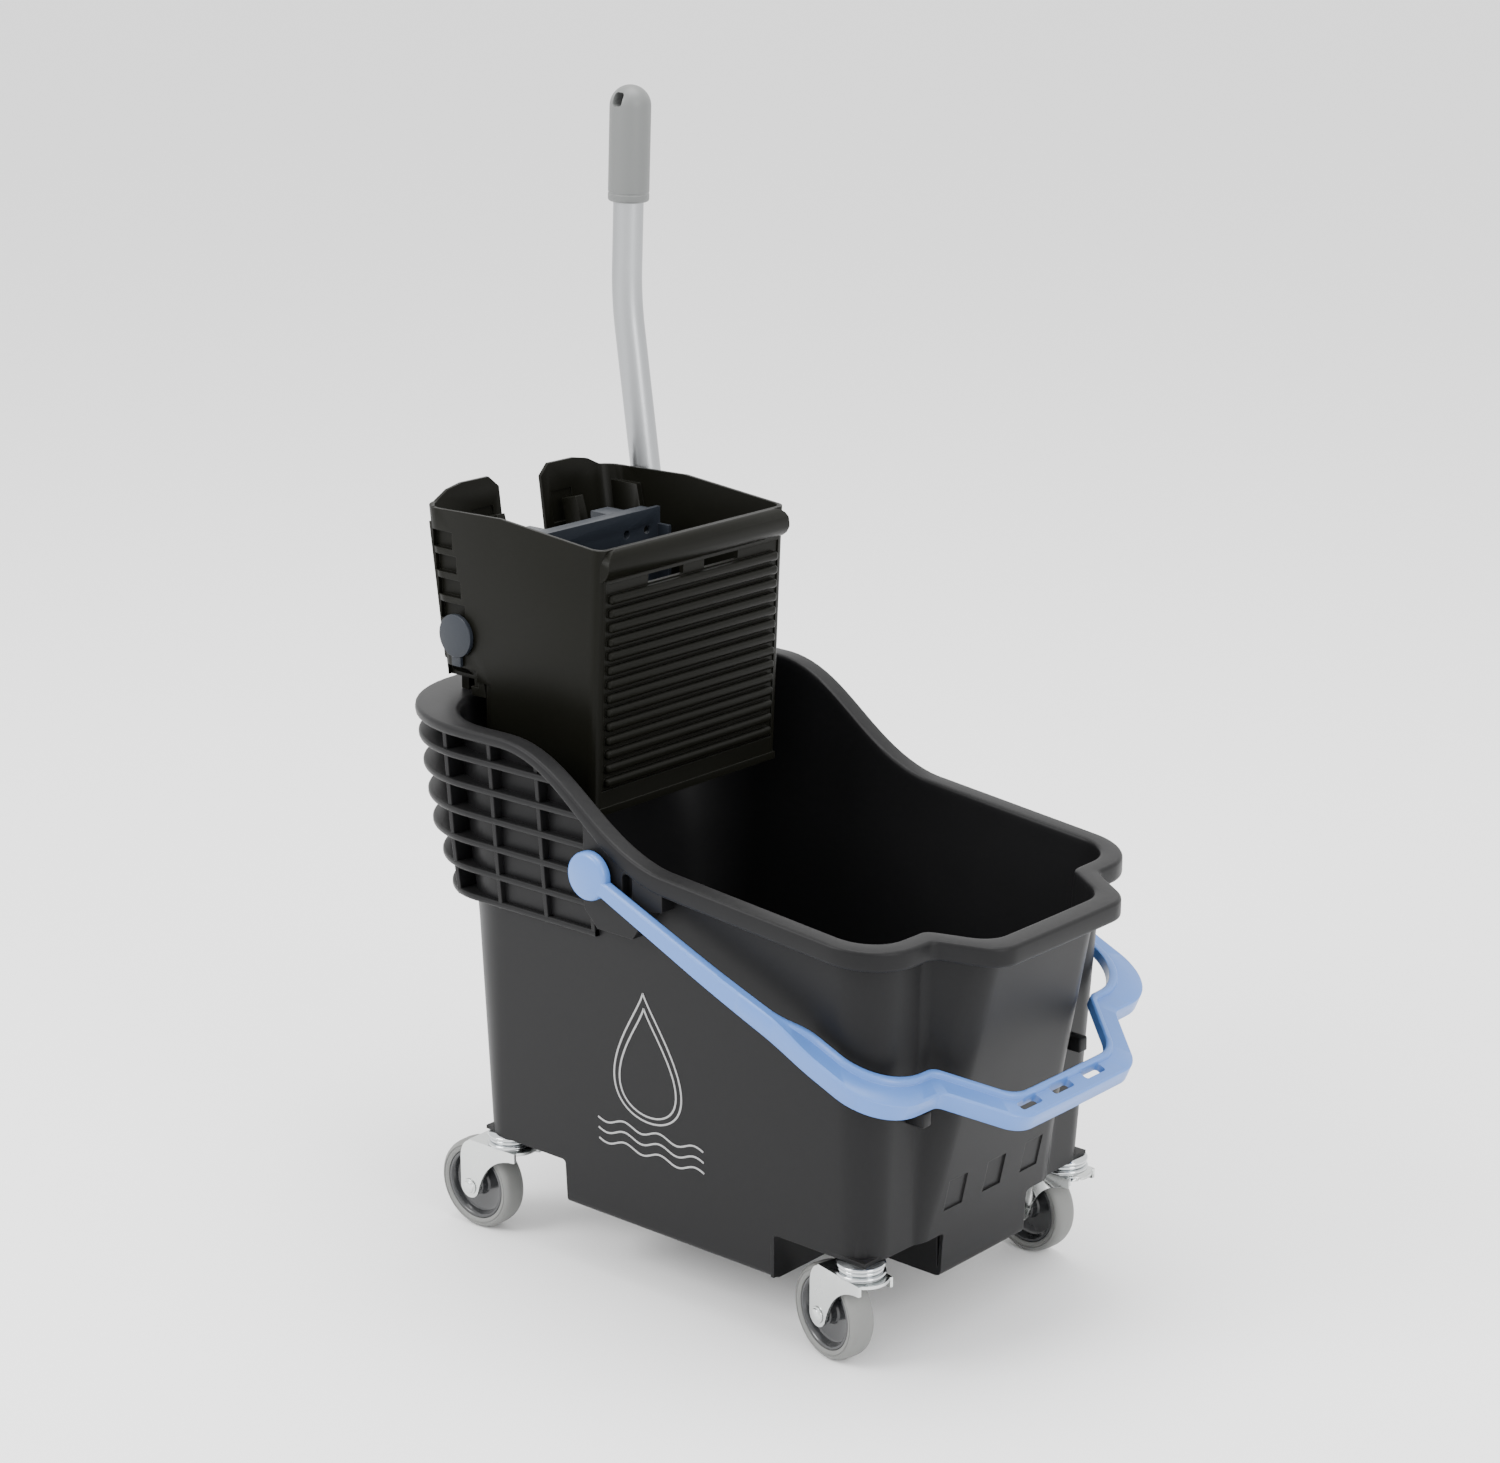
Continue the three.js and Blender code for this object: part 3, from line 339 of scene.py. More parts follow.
def makeFinish(name, look):
    # colour with slow mottling, wear at the edges and dust; roughness that varies; fine relief
    material = bpy.data.materials.new(name)
    material.use_nodes = True
    tree = material.node_tree
    link = tree.links.new
    shader = tree.nodes["Principled BSDF"]
    wear = groupNode(tree, edgeWear, Radius=look["edge"])
    grain = groupNode(tree, mouldedGrain, Grain=look["grain"], Waviness=look["waviness"])
    cover = groupNode(tree, dust, Amount=look["dust"])
    base = (*look["colour"], 1)
    darker = (*[c * (1 - look["mottle"]) for c in look["colour"]], 1)
    colour = mixColours(tree, grain.outputs["Mottle"], darker, base)
    rubbed = calc(tree, "MULTIPLY", wear.outputs["Mask"], look["wear"])
    colour = mixColours(tree, rubbed, colour, (*look["worn"], 1))
    link(colour, cover.inputs["Colour"])
    link(cover.outputs["Colour"], shader.inputs["Base Color"])
    spread = calc(tree, "MULTIPLY", grain.outputs["Mottle"], look["roughSpread"])
    rough = calc(tree, "ADD", spread, look["roughness"] - look["roughSpread"] / 2)
    if "streak" in look:
        coords = tree.nodes.new("ShaderNodeTexCoord").outputs["Object"]
        streaks = noiseAt(tree, coords, 1.0, 3.0, look["streak"])
        streakDepth = 0.12
        rough = calc(tree, "ADD", rough, calc(tree, "MULTIPLY", streaks, streakDepth))
    link(rough, shader.inputs["Roughness"])
    bump = tree.nodes.new("ShaderNodeBump")
    bump.inputs["Strength"].default_value = look["relief"]
    bump.inputs["Distance"].default_value = 0.0004
    link(grain.outputs["Height"], bump.inputs["Height"])
    link(wear.outputs["Normal"], bump.inputs["Normal"])
    link(bump.outputs[0], shader.inputs["Normal"])
    shader.inputs["Metallic"].default_value = look["metal"]
    shader.inputs["Specular IOR Level"].default_value = look["gloss"]
    shader.inputs["Coat Weight"].default_value = look["coat"]
    shader.inputs["Coat Roughness"].default_value = 0.12
    return material


sharedLook = {"mottle": 0.10, "wear": 0.3, "roughSpread": 0.10, "edge": 0.0006, "waviness": 14.0,
              "metal": 0.0, "gloss": 0.5, "coat": 0.0}
looks = {  # each says where it differs from what they share
    "charcoalPlastic": {
        "colour": (0.0075, 0.0075, 0.008), "mottle": 0.12, "worn": (0.06, 0.06, 0.06), "wear": 0.35,
        "dust": 0.012, "gloss": 0.13, "roughness": 0.42, "grain": 1100.0, "relief": 0.10, "edge": 0.0008},
    "blackPlastic": {
        "colour": (0.0042, 0.0042, 0.0028), "mottle": 0.12, "worn": (0.045, 0.045, 0.04), "wear": 0.35,
        "dust": 0.008, "gloss": 0.08, "roughness": 0.38, "grain": 1200.0, "relief": 0.08},
    "slatePlastic": {
        "colour": (0.014, 0.0175, 0.024), "worn": (0.07, 0.07, 0.08), "wear": 0.4, "dust": 0.02,
        "gloss": 0.22, "roughness": 0.38, "grain": 1200.0, "relief": 0.08},
    "bluePlastic": {
        "colour": (0.070, 0.175, 0.47), "mottle": 0.06, "worn": (0.36, 0.50, 0.78), "dust": 0.03,
        "roughness": 0.34, "roughSpread": 0.08, "grain": 1300.0, "relief": 0.06},
    "greyVinyl": {
        "colour": (0.115, 0.120, 0.118), "mottle": 0.08, "worn": (0.33, 0.33, 0.33), "dust": 0.05,
        "roughness": 0.45, "grain": 1500.0, "relief": 0.12},
    "satinTube": {
        "colour": (0.36, 0.37, 0.38), "mottle": 0.05, "worn": (0.75, 0.75, 0.75), "dust": 0.01,
        "roughness": 0.30, "roughSpread": 0.06, "grain": 1600.0, "relief": 0.03, "edge": 0.0004, "metal": 1.0,
        "streak": (900.0, 900.0, 9.0)},
    "zincPlate": {
        "colour": (0.62, 0.64, 0.63), "mottle": 0.08, "worn": (0.60, 0.60, 0.58), "dust": 0.01,
        "roughness": 0.26, "roughSpread": 0.12, "grain": 900.0, "relief": 0.05, "edge": 0.0004, "metal": 1.0,
        "waviness": 60.0},
    "brightRing": {
        "colour": (0.55, 0.57, 0.58), "mottle": 0.05, "worn": (0.6, 0.6, 0.6), "wear": 0.2, "dust": 0.01,
        "roughness": 0.14, "roughSpread": 0.06, "grain": 900.0, "relief": 0.02, "edge": 0.0003, "metal": 1.0},
    "hubPlastic": {
        "colour": (0.020, 0.021, 0.023), "worn": (0.08, 0.08, 0.08), "dust": 0.04, "roughness": 0.22,
        "roughSpread": 0.08, "grain": 1200.0, "relief": 0.04, "edge": 0.0005, "coat": 0.3},
    "greyTyre": {
        "colour": (0.15, 0.153, 0.147), "mottle": 0.12, "worn": (0.45, 0.45, 0.44), "dust": 0.10,
        "roughness": 0.55, "roughSpread": 0.12, "grain": 1000.0, "relief": 0.16},
    "palePrint": {
        "colour": (0.30, 0.30, 0.30), "worn": (0.35, 0.35, 0.35), "wear": 0.1, "dust": 0.04,
        "roughness": 0.45, "roughSpread": 0.08, "grain": 1400.0, "relief": 0.05, "edge": 0.0002},
}
finish = {name: makeFinish(name, {**sharedLook, **look}) for name, look in looks.items()}
print("finishes made")


# The bucket: one skin from the underside, up the wall, over the rim and down to the floor.

bucket = {
    "wall": 3, "sumpBottom": 54, "recessCeiling": 91, "rimHigh": 437, "rimMiddle": 362, "frontHeight": 339,
    "kneeHeight": 290, "openHalf": 151, "footHalf": 137, "openRear": 252, "kneeRear": 221, "footRear": 203,
    "openFront": 201, "footFront": 187, "noseReach": 42, "noseRoot": 3, "noseHalf": 80,
    "footCorner": 22, "rimCorner": 32, "lip": 17, "lipCorner": 46, "lipNoseReach": 44, "lipNoseHalf": 90,
    "rearFlange": 52, "lipDepthFront": 15, "lipDepthRear": 8, "lipDepthRun": 160,
    "rearCornerStart": 190, "rearCornerDepth": 104, "sweep": ((10, 362), (-60, 375), (-85, 437), (-150, 437)),
    "frontSlope": 30 / 330, "taper": 0.0001, "crown": 1.5,
    "noseRounding": 28, "noseHollow": 10, "noseFlank": 60, "flankSteps": (8, 18, 26, 32), "rearOpening": 60,
    "pocketHeights": (112, 138), "pocketSpots": (-47, 0, 47), "pocketWidth": 22, "pocketDepth": 1.5, "pocketOut": 260,
    "frontSteps": 64, "cornerSteps": 14, "sideSteps": 48, "rearSteps": 20, "wallSteps": 16,
    "outerFoot": 12, "underLip": 4.4, "innerFoot": 8, "underMouth": 3.0, "innerTop": 0.985,
    "underEdge": ((5, 0), (1.5, 1.2), (0.3, 2.8), (0, 5)),  # these edges are insets with heights or drops
    "lipUnder": ((5.5, 3.6), (3.6, 4.4)), "lipFoot": ((3.0, 1.6), (2.2, 0.4), (1.2, 0), (0.3, 0.9), (0, 2.6)),
    "lipTop": ((0, 2.8), (0.2, 1.7), (0.8, 0.8), (1.7, 0.2), (2.8, 0)),
    "mouthEdge": ((3.6, 0), (1.8, 0.25), (0.5, 1.2), (0, 3.0)), "floorEdge": ((0.6, 4), (2.5, 1.2), (6, 0))}
planLegs = tuple(bucket[leg] for leg in (
    "frontSteps", "cornerSteps", "sideSteps", "cornerSteps", "rearSteps", "cornerSteps", "sideSteps", "cornerSteps"))
planSteps = sum(planLegs)


def legOf(legs, i):
    # the leg that step i falls on, and its share of that leg
    leg = 0
    while leg < len(legs) - 1 and i >= legs[leg]:
        i -= legs[leg]
        leg += 1
    return leg, i / legs[leg]


def noseAt(plan, i):
    # across the front: a flat, a rounded corner, a flank, a hollow and the shoulder
    b = bucket
    reach, big, small = plan["nose"], b["noseRounding"], b["noseHollow"]
    steepest = math.radians(plan.get("flank", b["noseFlank"]))
    slope = min(steepest, math.acos(max(-1, 1 - reach / (big + small))))
    fall = 1 - math.cos(slope)
    start = plan["noseHalf"] - big * math.sin(slope) - (reach / 2 - big * fall) / math.tan(slope)
    root = start + (big + small) * math.sin(slope) + (reach - (big + small) * fall) / math.tan(slope)
    flat, corner, hollow, end = b["flankSteps"]
    step = abs(i - end)
    if step <= flat:
        y, out = start * step / flat, reach
    elif step <= corner:
        turn = slope * (step - flat) / (corner - flat)
        y, out = start + big * math.sin(turn), reach - big * (1 - math.cos(turn))
    elif step <= hollow:
        turn = slope * (hollow - step) / (hollow - corner - 1)
        y, out = root - small * math.sin(turn), small * (1 - math.cos(turn))
    else:
        y, out = blend(root, plan["side"] - plan["fr"], (step - hollow) / (end - hollow)), 0
    return math.copysign(y, i - end), out


def planPoint(plan, i):
    # point i of a rounded rectangle with a nose; i runs front, far corner, far side, rear and back
    i %= planSteps
    leg, t = legOf(planLegs, i)
    side, rear, front, rx, ry, fr = (plan[k] for k in ("side", "rear", "front", "rx", "ry", "fr"))
    sweep = math.pi / 2 * t
    if leg == 0:
        y, out = noseAt(plan, i)
        x = front + out + bucket["crown"] * (1 - (y / (side - fr)) ** 2)
    elif leg == 1:
        x, y = front - fr + fr * math.cos(sweep), side - fr + fr * math.sin(sweep)
    elif leg == 2:
        x, y = blend(front - fr, -rear + rx, t), side
    elif leg == 3:
        x, y = -rear + rx - rx * math.sin(sweep), side - ry + ry * math.cos(sweep)
    elif leg == 4:
        x, y = -rear, blend(side - ry, -side + ry, t)
    elif leg == 5:
        x, y = -rear + rx - rx * math.cos(sweep), -side + ry - ry * math.sin(sweep)
    elif leg == 6:
        x, y = blend(-rear + rx, front - fr, t), -side
    else:
        x, y = front - fr + fr * math.sin(sweep), -side + fr - fr * math.cos(sweep)
    return x, y * (1 - bucket["taper"] * x)


def rearWallAt(z):
    # the rear wall leans out, more so above its knee
    b = bucket
    if z < b["kneeHeight"]:
        t = (z - b["recessCeiling"]) / (b["kneeHeight"] - b["recessCeiling"])
        return blend(b["footRear"], b["kneeRear"], t)
    return blend(b["kneeRear"], b["openRear"], (z - b["kneeHeight"]) / (b["rimHigh"] - b["kneeHeight"]))


def wallPlan(z, grow):
    # the plan of the tub's inside at a height, grown outwards
    b = bucket
    t = (z - b["recessCeiling"]) / (b["frontHeight"] - b["recessCeiling"])
    corner = blend(b["footCorner"], b["rimCorner"], t) + grow
    rearCorner = blend(b["footCorner"], b["rearOpening"], t) + grow
    return {
        "side": blend(b["footHalf"], b["openHalf"], min(t, 1)) + grow, "rear": rearWallAt(z) + grow,
        "front": blend(b["footFront"], b["openFront"], t) + grow, "rx": rearCorner, "ry": rearCorner, "fr": corner,
        "nose": blend(b["noseRoot"], b["noseReach"], max(0, t)), "noseHalf": b["noseHalf"] + grow / 2}


def rimPlan(inset=0.0, pinch=0.0, drop=0.0):
    # the plan of the rim's edge; pinch draws in the sides, and drop the rear
    b = bucket
    rear = b["openRear"] + b["rearFlange"] - drop - inset
    return {
        "side": b["openHalf"] + b["lip"] - pinch - inset, "rear": rear, "front": b["openFront"] + b["lip"] - inset,
        "rx": rear - b["rearCornerStart"], "ry": b["rearCornerDepth"] - pinch - inset,
        "fr": b["lipCorner"] - inset, "nose": b["lipNoseReach"], "noseHalf": b["lipNoseHalf"] - inset / 2}


def sweepTable():
    # points down the curve that joins the high rear rim to the front
    p = bucket["sweep"]
    rows = []
    for k in range(81):
        t = k / 80
        w = ((1 - t) ** 3, 3 * t * (1 - t) ** 2, 3 * t * t * (1 - t), t ** 3)
        rows.append((sum(a * q[0] for a, q in zip(w, p)), sum(a * q[1] for a, q in zip(w, p))))
    return rows


sweepRows = sweepTable()


def rimTop(x):
    # height of the rim's upper face along the bucket
    front, rear = bucket["sweep"][0], bucket["sweep"][3]
    if x >= front[0]:
        return front[1] - (x - front[0]) * bucket["frontSlope"]
    if x <= rear[0]:
        return rear[1]
    for (x1, z1), (x0, z0) in zip(sweepRows, sweepRows[1:]):
        if x0 <= x <= x1:
            return blend(z0, z1, (x - x0) / (x1 - x0))
    return rear[1]


def lipDepth(x):
    b = bucket
    return blend(b["lipDepthFront"], b["lipDepthRear"], ease((b["sweep"][0][0] - x) / b["lipDepthRun"]))


def levelRow(grow, z):
    # a level row of the skin
    return lambda i: Vector((*planPoint(wallPlan(z, grow), i), z))


def wallRow(share, grow, foot, headroom):
    # a row up the wall: share 0 is at the foot, 1 just below the rim
    def pointAt(i):
        z = foot + share * (bucket["frontHeight"] + 1 - foot)
        for _ in range(4):
            x, y = planPoint(wallPlan(z, grow), i)
            z = foot + share * (rimTop(x) - headroom - foot)
        return Vector((*planPoint(wallPlan(z, grow), i), z))
    return pointAt


def lipRow(inset, drop, fromFoot=False):
    # a row round the lip, dropped from its top or raised from its foot
    def pointAt(i):
        x, y = planPoint(rimPlan(inset), i)
        below = lipDepth(x) - drop if fromFoot else drop
        return Vector((x, y, rimTop(x) - below))
    return pointAt


def bucketSkin():
    b = bucket
    low, floor, wall, steps = b["sumpBottom"], b["sumpBottom"] + b["wall"], b["wall"], b["wallSteps"]
    rows = [levelRow(wall - inset, low + rise) for inset, rise in b["underEdge"]]
    rows += [wallRow(k / steps, wall, low + b["outerFoot"], b["underLip"]) for k in range(steps + 1)]
    rows += [lipRow(inset, drop) for inset, drop in b["lipUnder"]]
    rows += [lipRow(inset, rise, fromFoot=True) for inset, rise in b["lipFoot"]]
    rows += [lipRow(inset, drop) for inset, drop in b["lipTop"]]
    rows += [wallRow(1.0, grow, b["recessCeiling"], drop) for grow, drop in b["mouthEdge"]]
    rows += [wallRow(k / steps * b["innerTop"], 0, floor + b["innerFoot"], b["underMouth"])
             for k in range(steps, -1, -1)]
    rows += [levelRow(-inset, floor + rise) for inset, rise in b["floorEdge"]]
    bm = bmesh.new()
    sheetOf(bm, planSteps, len(rows) - 1, lambda i, j: rows[j](i))
    closeUp(bm)
    return objectOf(bm, "bucket")


castorSpots = {  # X, Y and the turn of the wheel in degrees
    "front_near": (176, -127, -13), "front_far": (176, 127, -4),
    "rear_near": (-188, -127, 2), "rear_far": (-188, 127, 9)}
recess = {
    "reach": 75.08, "wellTuck": (1.5, 1.2, 1.5), "cutBottom": 20, "cutLength": 320, "cutSide": 260, "rounding": 3.0}


def cornerBlocks(reach, bottom, top, front, rear, side, rounding=0.0):
    # a block at each castor, from beside its stem out past the corner
    bm = bmesh.new()
    for x, y, _ in castorSpots.values():
        sx, sy = math.copysign(1, x), math.copysign(1, y)
        xs = sorted((x - sx * reach, front if sx > 0 else -rear))
        ys = sorted((y - sy * reach, sy * side))
        block(bm, (xs[0], ys[0], bottom), (xs[1], ys[1], top), rounding)
    return objectOf(bm, "tool")


def frontPockets():
    # three shallow pockets low on the nose
    b = bucket
    half = b["pocketWidth"] / 2
    low, high = b["pocketHeights"]
    tips = [planPoint(wallPlan(z, b["wall"]), b["frontSteps"] // 2)[0] for z in (low, high)]
    foot, top = (tip - b["pocketDepth"] for tip in tips)
    section = ((foot, low), (b["pocketOut"], low), (b["pocketOut"], high), (top, high))
    bm = bmesh.new()
    for y in b["pocketSpots"]:
        plateOf(bm, [(x, y - half, z) for x, z in section], b["pocketWidth"], (0, 1, 0))
    return objectOf(bm, "tool")


def makeBucket():
    # the walls round the castor recesses are added first, then the recesses are cut
    b, r = bucket, recess
    body = bucketSkin()
    endTuck, sideTuck, footTuck = r["wellTuck"]
    carve(body, cornerBlocks(r["reach"] + b["wall"], b["sumpBottom"] + footTuck, b["recessCeiling"] + b["wall"],
                             b["footFront"] + endTuck, b["footRear"] + endTuck, b["footHalf"] + sideTuck), "UNION")
    carve(body, cornerBlocks(r["reach"], r["cutBottom"], b["recessCeiling"],
                             r["cutLength"], r["cutLength"], r["cutSide"], r["rounding"]))
    carve(body, frontPockets())
    sharpen(body, 40)
    settle(body, "bucket", finish["charcoalPlastic"], ("bucket_shell",))


makeBucket()
print("bucket made")


# The lattice under the rear rim: shelves between upright ribs, and the bail's brackets.

lattice = {
    "first": 413, "pitch": 23.4, "count": 6, "pinch": 2.2, "pinchStart": 0.6, "setback": 4, "lowSetback": 9,
    "front": -62, "rear": -150.0, "headroom": 5, "halfSheet": 2.5, "root": 1.5, "legs": (16, 18, 12, 18, 16),
    "edge": ((6, -2.5), (1.6, -2.2), (0.5, -1.7), (0, -0.6), (0, 1.8), (0.5, 2.8), (1.6, 3.1), (6, 2.5)),
    "ribPitch": 49, "ribHalf": 2, "foot": 293.5, "envelope": ((296, 44, 12), (342.8, 18, 8), (433, 3, 2)),
    "sideRibs": 4, "rearRibs": (-2, -1, 0, 1, 2), "ribSteps": 10, "belowRim": 4}


def rearPoint(plan, start, i):
    # point i round the back of a plan, from the far side at x = start to the near side
    side, rear, rx, ry = (plan[k] for k in ("side", "rear", "rx", "ry"))
    leg, t = legOf(lattice["legs"], i)
    turn = math.pi / 2 * t
    if leg == 0:
        x, y = blend(start, rx - rear, t), side
    elif leg == 1:
        x, y = rx - rear - rx * math.sin(turn), side - ry + ry * math.cos(turn)
    elif leg == 2:
        x, y = -rear, blend(side - ry, ry - side, t)
    elif leg == 3:
        x, y = rx - rear - rx * math.cos(turn), ry - side - ry * math.sin(turn)
    else:
        x, y = blend(rx - rear, start, t), -side
    return x, y * (1 - bucket["taper"] * x)


def shelf(bm, z, pinch, drop):
    # one shelf, starting on each side where the rim clears it
    n = lattice
    edge = n["edge"]
    start = n["rear"]
    while start < n["front"] and rimTop(start) > z + n["headroom"]:
        start += 0.5

    def shelfPoint(i, j):
        j %= len(edge) + 2
        if j in (0, len(edge) + 1):
            rise = -n["halfSheet"] if j == 0 else n["halfSheet"]
            return Vector((*rearPoint(wallPlan(z, n["root"]), start, i), z + rise))
        inset, rise = edge[j - 1]
        return Vector((*rearPoint(rimPlan(inset, pinch, drop), start, i), z + rise))

    sheetOf(bm, sum(n["legs"]), len(edge) + 2, shelfPoint)


def makeShelves():
    n = lattice
    bm = bmesh.new()
    for k in range(n["count"]):
        drop = n["setback"] * (k + 1) + n["lowSetback"] * max(0, k - 3)
        shelf(bm, n["first"] - n["pitch"] * k, n["pinch"] * k + n["pinchStart"], drop)
    closeUp(bm)
    shelves = objectOf(bm, "lattice_shelves")
    sharpen(shelves, 50)
    settle(shelves, "bucket", finish["charcoalPlastic"])


def envelopeAt(z):
    # the plan that the ribs' outer edges follow
    rows = lattice["envelope"]
    below, above = (rows[0], rows[1]) if z < rows[1][0] else (rows[1], rows[2])
    t = (z - below[0]) / (above[0] - below[0])
    return rimPlan(0, blend(below[2], above[2], t), blend(below[1], above[1], t))


def sideReach(plan, x):
    corner = plan["rx"] - plan["rear"]
    y = plan["side"]
    if x < corner:
        y += plan["ry"] * (math.sqrt(max(0, 1 - ((corner - x) / plan["rx"]) ** 2)) - 1)
    return y * (1 - bucket["taper"] * x)


def rearReach(plan, y):
    corner = plan["side"] - plan["ry"]
    if abs(y) < corner:
        return plan["rear"]
    return plan["rear"] - plan["rx"] * (1 - math.sqrt(max(0, 1 - ((abs(y) - corner) / plan["ry"]) ** 2)))


def makeRibs():
    n = lattice
    bm = bmesh.new()
    half, foot, steps = n["ribHalf"], n["foot"], n["ribSteps"]
    for k in range(n["sideRibs"]):
        x = n["front"] - half - n["ribPitch"] * k
        heights = [blend(foot, rimTop(x) - lipDepth(x) / 2, s / steps) for s in range(steps + 1)]
        for side in (-1, 1):
            outline = [(x - half, side * sideReach(envelopeAt(z), x), z) for z in heights]
            outline += [(x - half, side * sideReach(wallPlan(z, n["root"]), x), z) for z in reversed(heights)]
            plateOf(bm, outline, 2 * half, (1, 0, 0))
    heights = [blend(foot, bucket["rimHigh"] - n["belowRim"], s / steps) for s in range(steps + 1)]
    for k in n["rearRibs"]:
        y = k * n["ribPitch"]
        outline = [(-rearReach(envelopeAt(z), y), y - half, z) for z in heights]
        outline += [(-rearReach(wallPlan(z, n["root"]), y), y - half, z) for z in reversed(heights)]
        plateOf(bm, outline, 2 * half, (0, 1, 0))
    ribs = objectOf(bm, "lattice_ribs")
    roundEdges(ribs, 0.6, 2)
    settle(ribs, "bucket", finish["charcoalPlastic"])


bail = {
    "pivot": (-51, 0, 350), "droop": 22.9, "pinRadius": 6, "pinLength": 14, "discRadius": 19, "armRoot": 0.62,
    "inside": 170, "outside": 179, "front": 308, "nose": 50, "noseHalf": 91, "cornerRadius": 44, "flank": 52,
    "straightRun": 110, "bandStart": (188, 240), "slotSpots": (-51, -12, 27), "slotHalf": 12, "slotBack": (14.5, 6.5),
    "arm": ((-1, -7.5), (-1, 7.5), (0.4, 9), (3, 9), (4, 9), (5, 9), (6.6, 9), (8, 7.5),
            (8, -6), (8, -7.5), (6.6, -9), (4, -9), (2, -9), (0.4, -9)),
    "band": ((0, -11), (0, 1.6), (1.4, 3), (15.2, 3), (16.2, 6.2), (17.2, 7), (19.8, 7), (21, 5.8),
             (21, -1.8), (19.8, -3), (6.4, -3), (5, -4.4), (4.6, -12), (0.8, -12))}
bailSeat = Matrix.Translation(bail["pivot"]) @ Matrix.Rotation(math.radians(bail["droop"]), 4, "Y")
bracket = {
    "pad": (152.2, 167), "footDrop": 56, "foot": ((-64, 14), (-50, 0), (-14, 0), (4, 26), (16, 28)),
    "top": (16, 2, -14, -30, -46, -64), "topDrop": 5, "lug": ((92, 102), (192, 196), (212.5, 208)),
    "slot": ((158, 178), (-24, 334), (-14, 356)), "pinMiddle": 164, "pinPlay": 0.4, "pinDepth": 17}


def makeBrackets():
    # the pads that carry the bail's pins, each with a slot, and the lugs that the bail rests on
    b = bracket
    x, _, z = bail["pivot"]
    foot = bucket["rimMiddle"] - b["footDrop"]
    outline = [(a, foot + rise) for a, rise in b["foot"]] + [(a, rimTop(a) - b["topDrop"]) for a in b["top"]]
    bm, holes = bmesh.new(), bmesh.new()
    for side in (-1, 1):
        y0, y1 = span(side, *b["pad"])
        plateOf(bm, [(a, y0, c) for a, c in outline], y1 - y0, (0, 1, 0))
        sideBlock(bm, side, *b["lug"], 1.5)
        sideBlock(holes, side, *b["slot"], 3.0)
        seat = Matrix.Translation((x, side * b["pinMiddle"], z)) @ Matrix.Rotation(math.pi / 2, 4, "X")
        radius = bail["pinRadius"] + b["pinPlay"]
        bmesh.ops.create_cone(holes, cap_ends=True, segments=32, radius1=radius, radius2=radius,
                              depth=b["pinDepth"], matrix=seat)
    pads = objectOf(bm, "bail_brackets")
    carve(pads, objectOf(holes, "tool"))
    roundEdges(pads, 0.8, 2)
    settle(pads, "bucket", finish["charcoalPlastic"])


def bailPlan(inset):
    b = bail
    return {"side": b["outside"] - 1 - inset, "rear": 0, "front": b["front"] - inset, "rx": 0, "ry": 0,
            "fr": b["cornerRadius"], "nose": b["nose"], "noseHalf": b["noseHalf"] - inset / 2, "flank": b["flank"]}


def makeBail():
    # the arms turn into the hand band where it leaves the sides
    b = bail
    start = bucket["frontSteps"] + bucket["cornerSteps"] + bucket["sideSteps"]
    columns = bucket["frontSteps"] + 2 * (bucket["cornerSteps"] + bucket["sideSteps"])
    bandStart, bandFull = b["bandStart"]
    run = b["straightRun"]

    def bailPoint(i, j):
        j %= len(b["arm"])
        share = ease((planPoint(bailPlan(0), start - i)[0] - bandStart) / (bandFull - bandStart))
        inset = blend(b["arm"][j][0], b["band"][j][0], share)
        x, y = planPoint(bailPlan(inset), start - i)
        straight = y / (1 - bucket["taper"] * x)
        height = b["arm"][j][1] * blend(b["armRoot"], 1, min(1, x / bandStart))
        return Vector((x, blend(straight, y, ease((x - run) / run)), blend(height, b["band"][j][1], share)))

    bm = bmesh.new()
    sheetOf(bm, columns, len(b["arm"]), bailPoint)
    closeUp(bm)
    handle = objectOf(bm, "bail", bailSeat)
    slots = bmesh.new()
    tip, half = b["front"] + b["nose"], b["slotHalf"]
    back, front = b["slotBack"]
    for y in b["slotSpots"]:
        block(slots, (tip - back, y - half, -20), (tip - front, y + half, 20), 2.5)
    carve(handle, objectOf(slots, "tool", bailSeat))
    sharpen(handle, 44)
    settle(handle, "bail", finish["bluePlastic"], ("bail_handle",))


def makeDiscs():
    # a disc and its pin, and a twin on the other side
    b = bail
    radius, pin, deep, root = b["discRadius"], b["pinRadius"], b["outside"] - b["inside"], -b["pinLength"]
    bm = bmesh.new()
    turnedBody(bm, [(0, root), (pin - 1, root), (pin, root + 1), (pin, 0), (radius - 1, 0), (radius, 1),
                    (radius, deep - 3), (radius - 0.8, deep - 1), (radius - 3, deep), (0, deep + 0.8)], 56)
    bmesh.ops.transform(bm, matrix=Matrix.Rotation(-math.pi / 2, 4, "X"), verts=bm.verts[:])
    bmesh.ops.translate(bm, verts=bm.verts[:], vec=(0, b["inside"], 0))
    twin = bmesh.ops.duplicate(bm, geom=bm.verts[:] + bm.edges[:] + bm.faces[:])["geom"]
    copied = [g for g in twin if isinstance(g, bmesh.types.BMVert)]
    bmesh.ops.rotate(bm, verts=copied, cent=(0, 0, 0), matrix=Matrix.Rotation(math.pi, 3, "Z"))
    discs = objectOf(bm, "bail_discs", bailSeat)
    sharpen(discs, 50)
    settle(discs, "bail", finish["bluePlastic"])


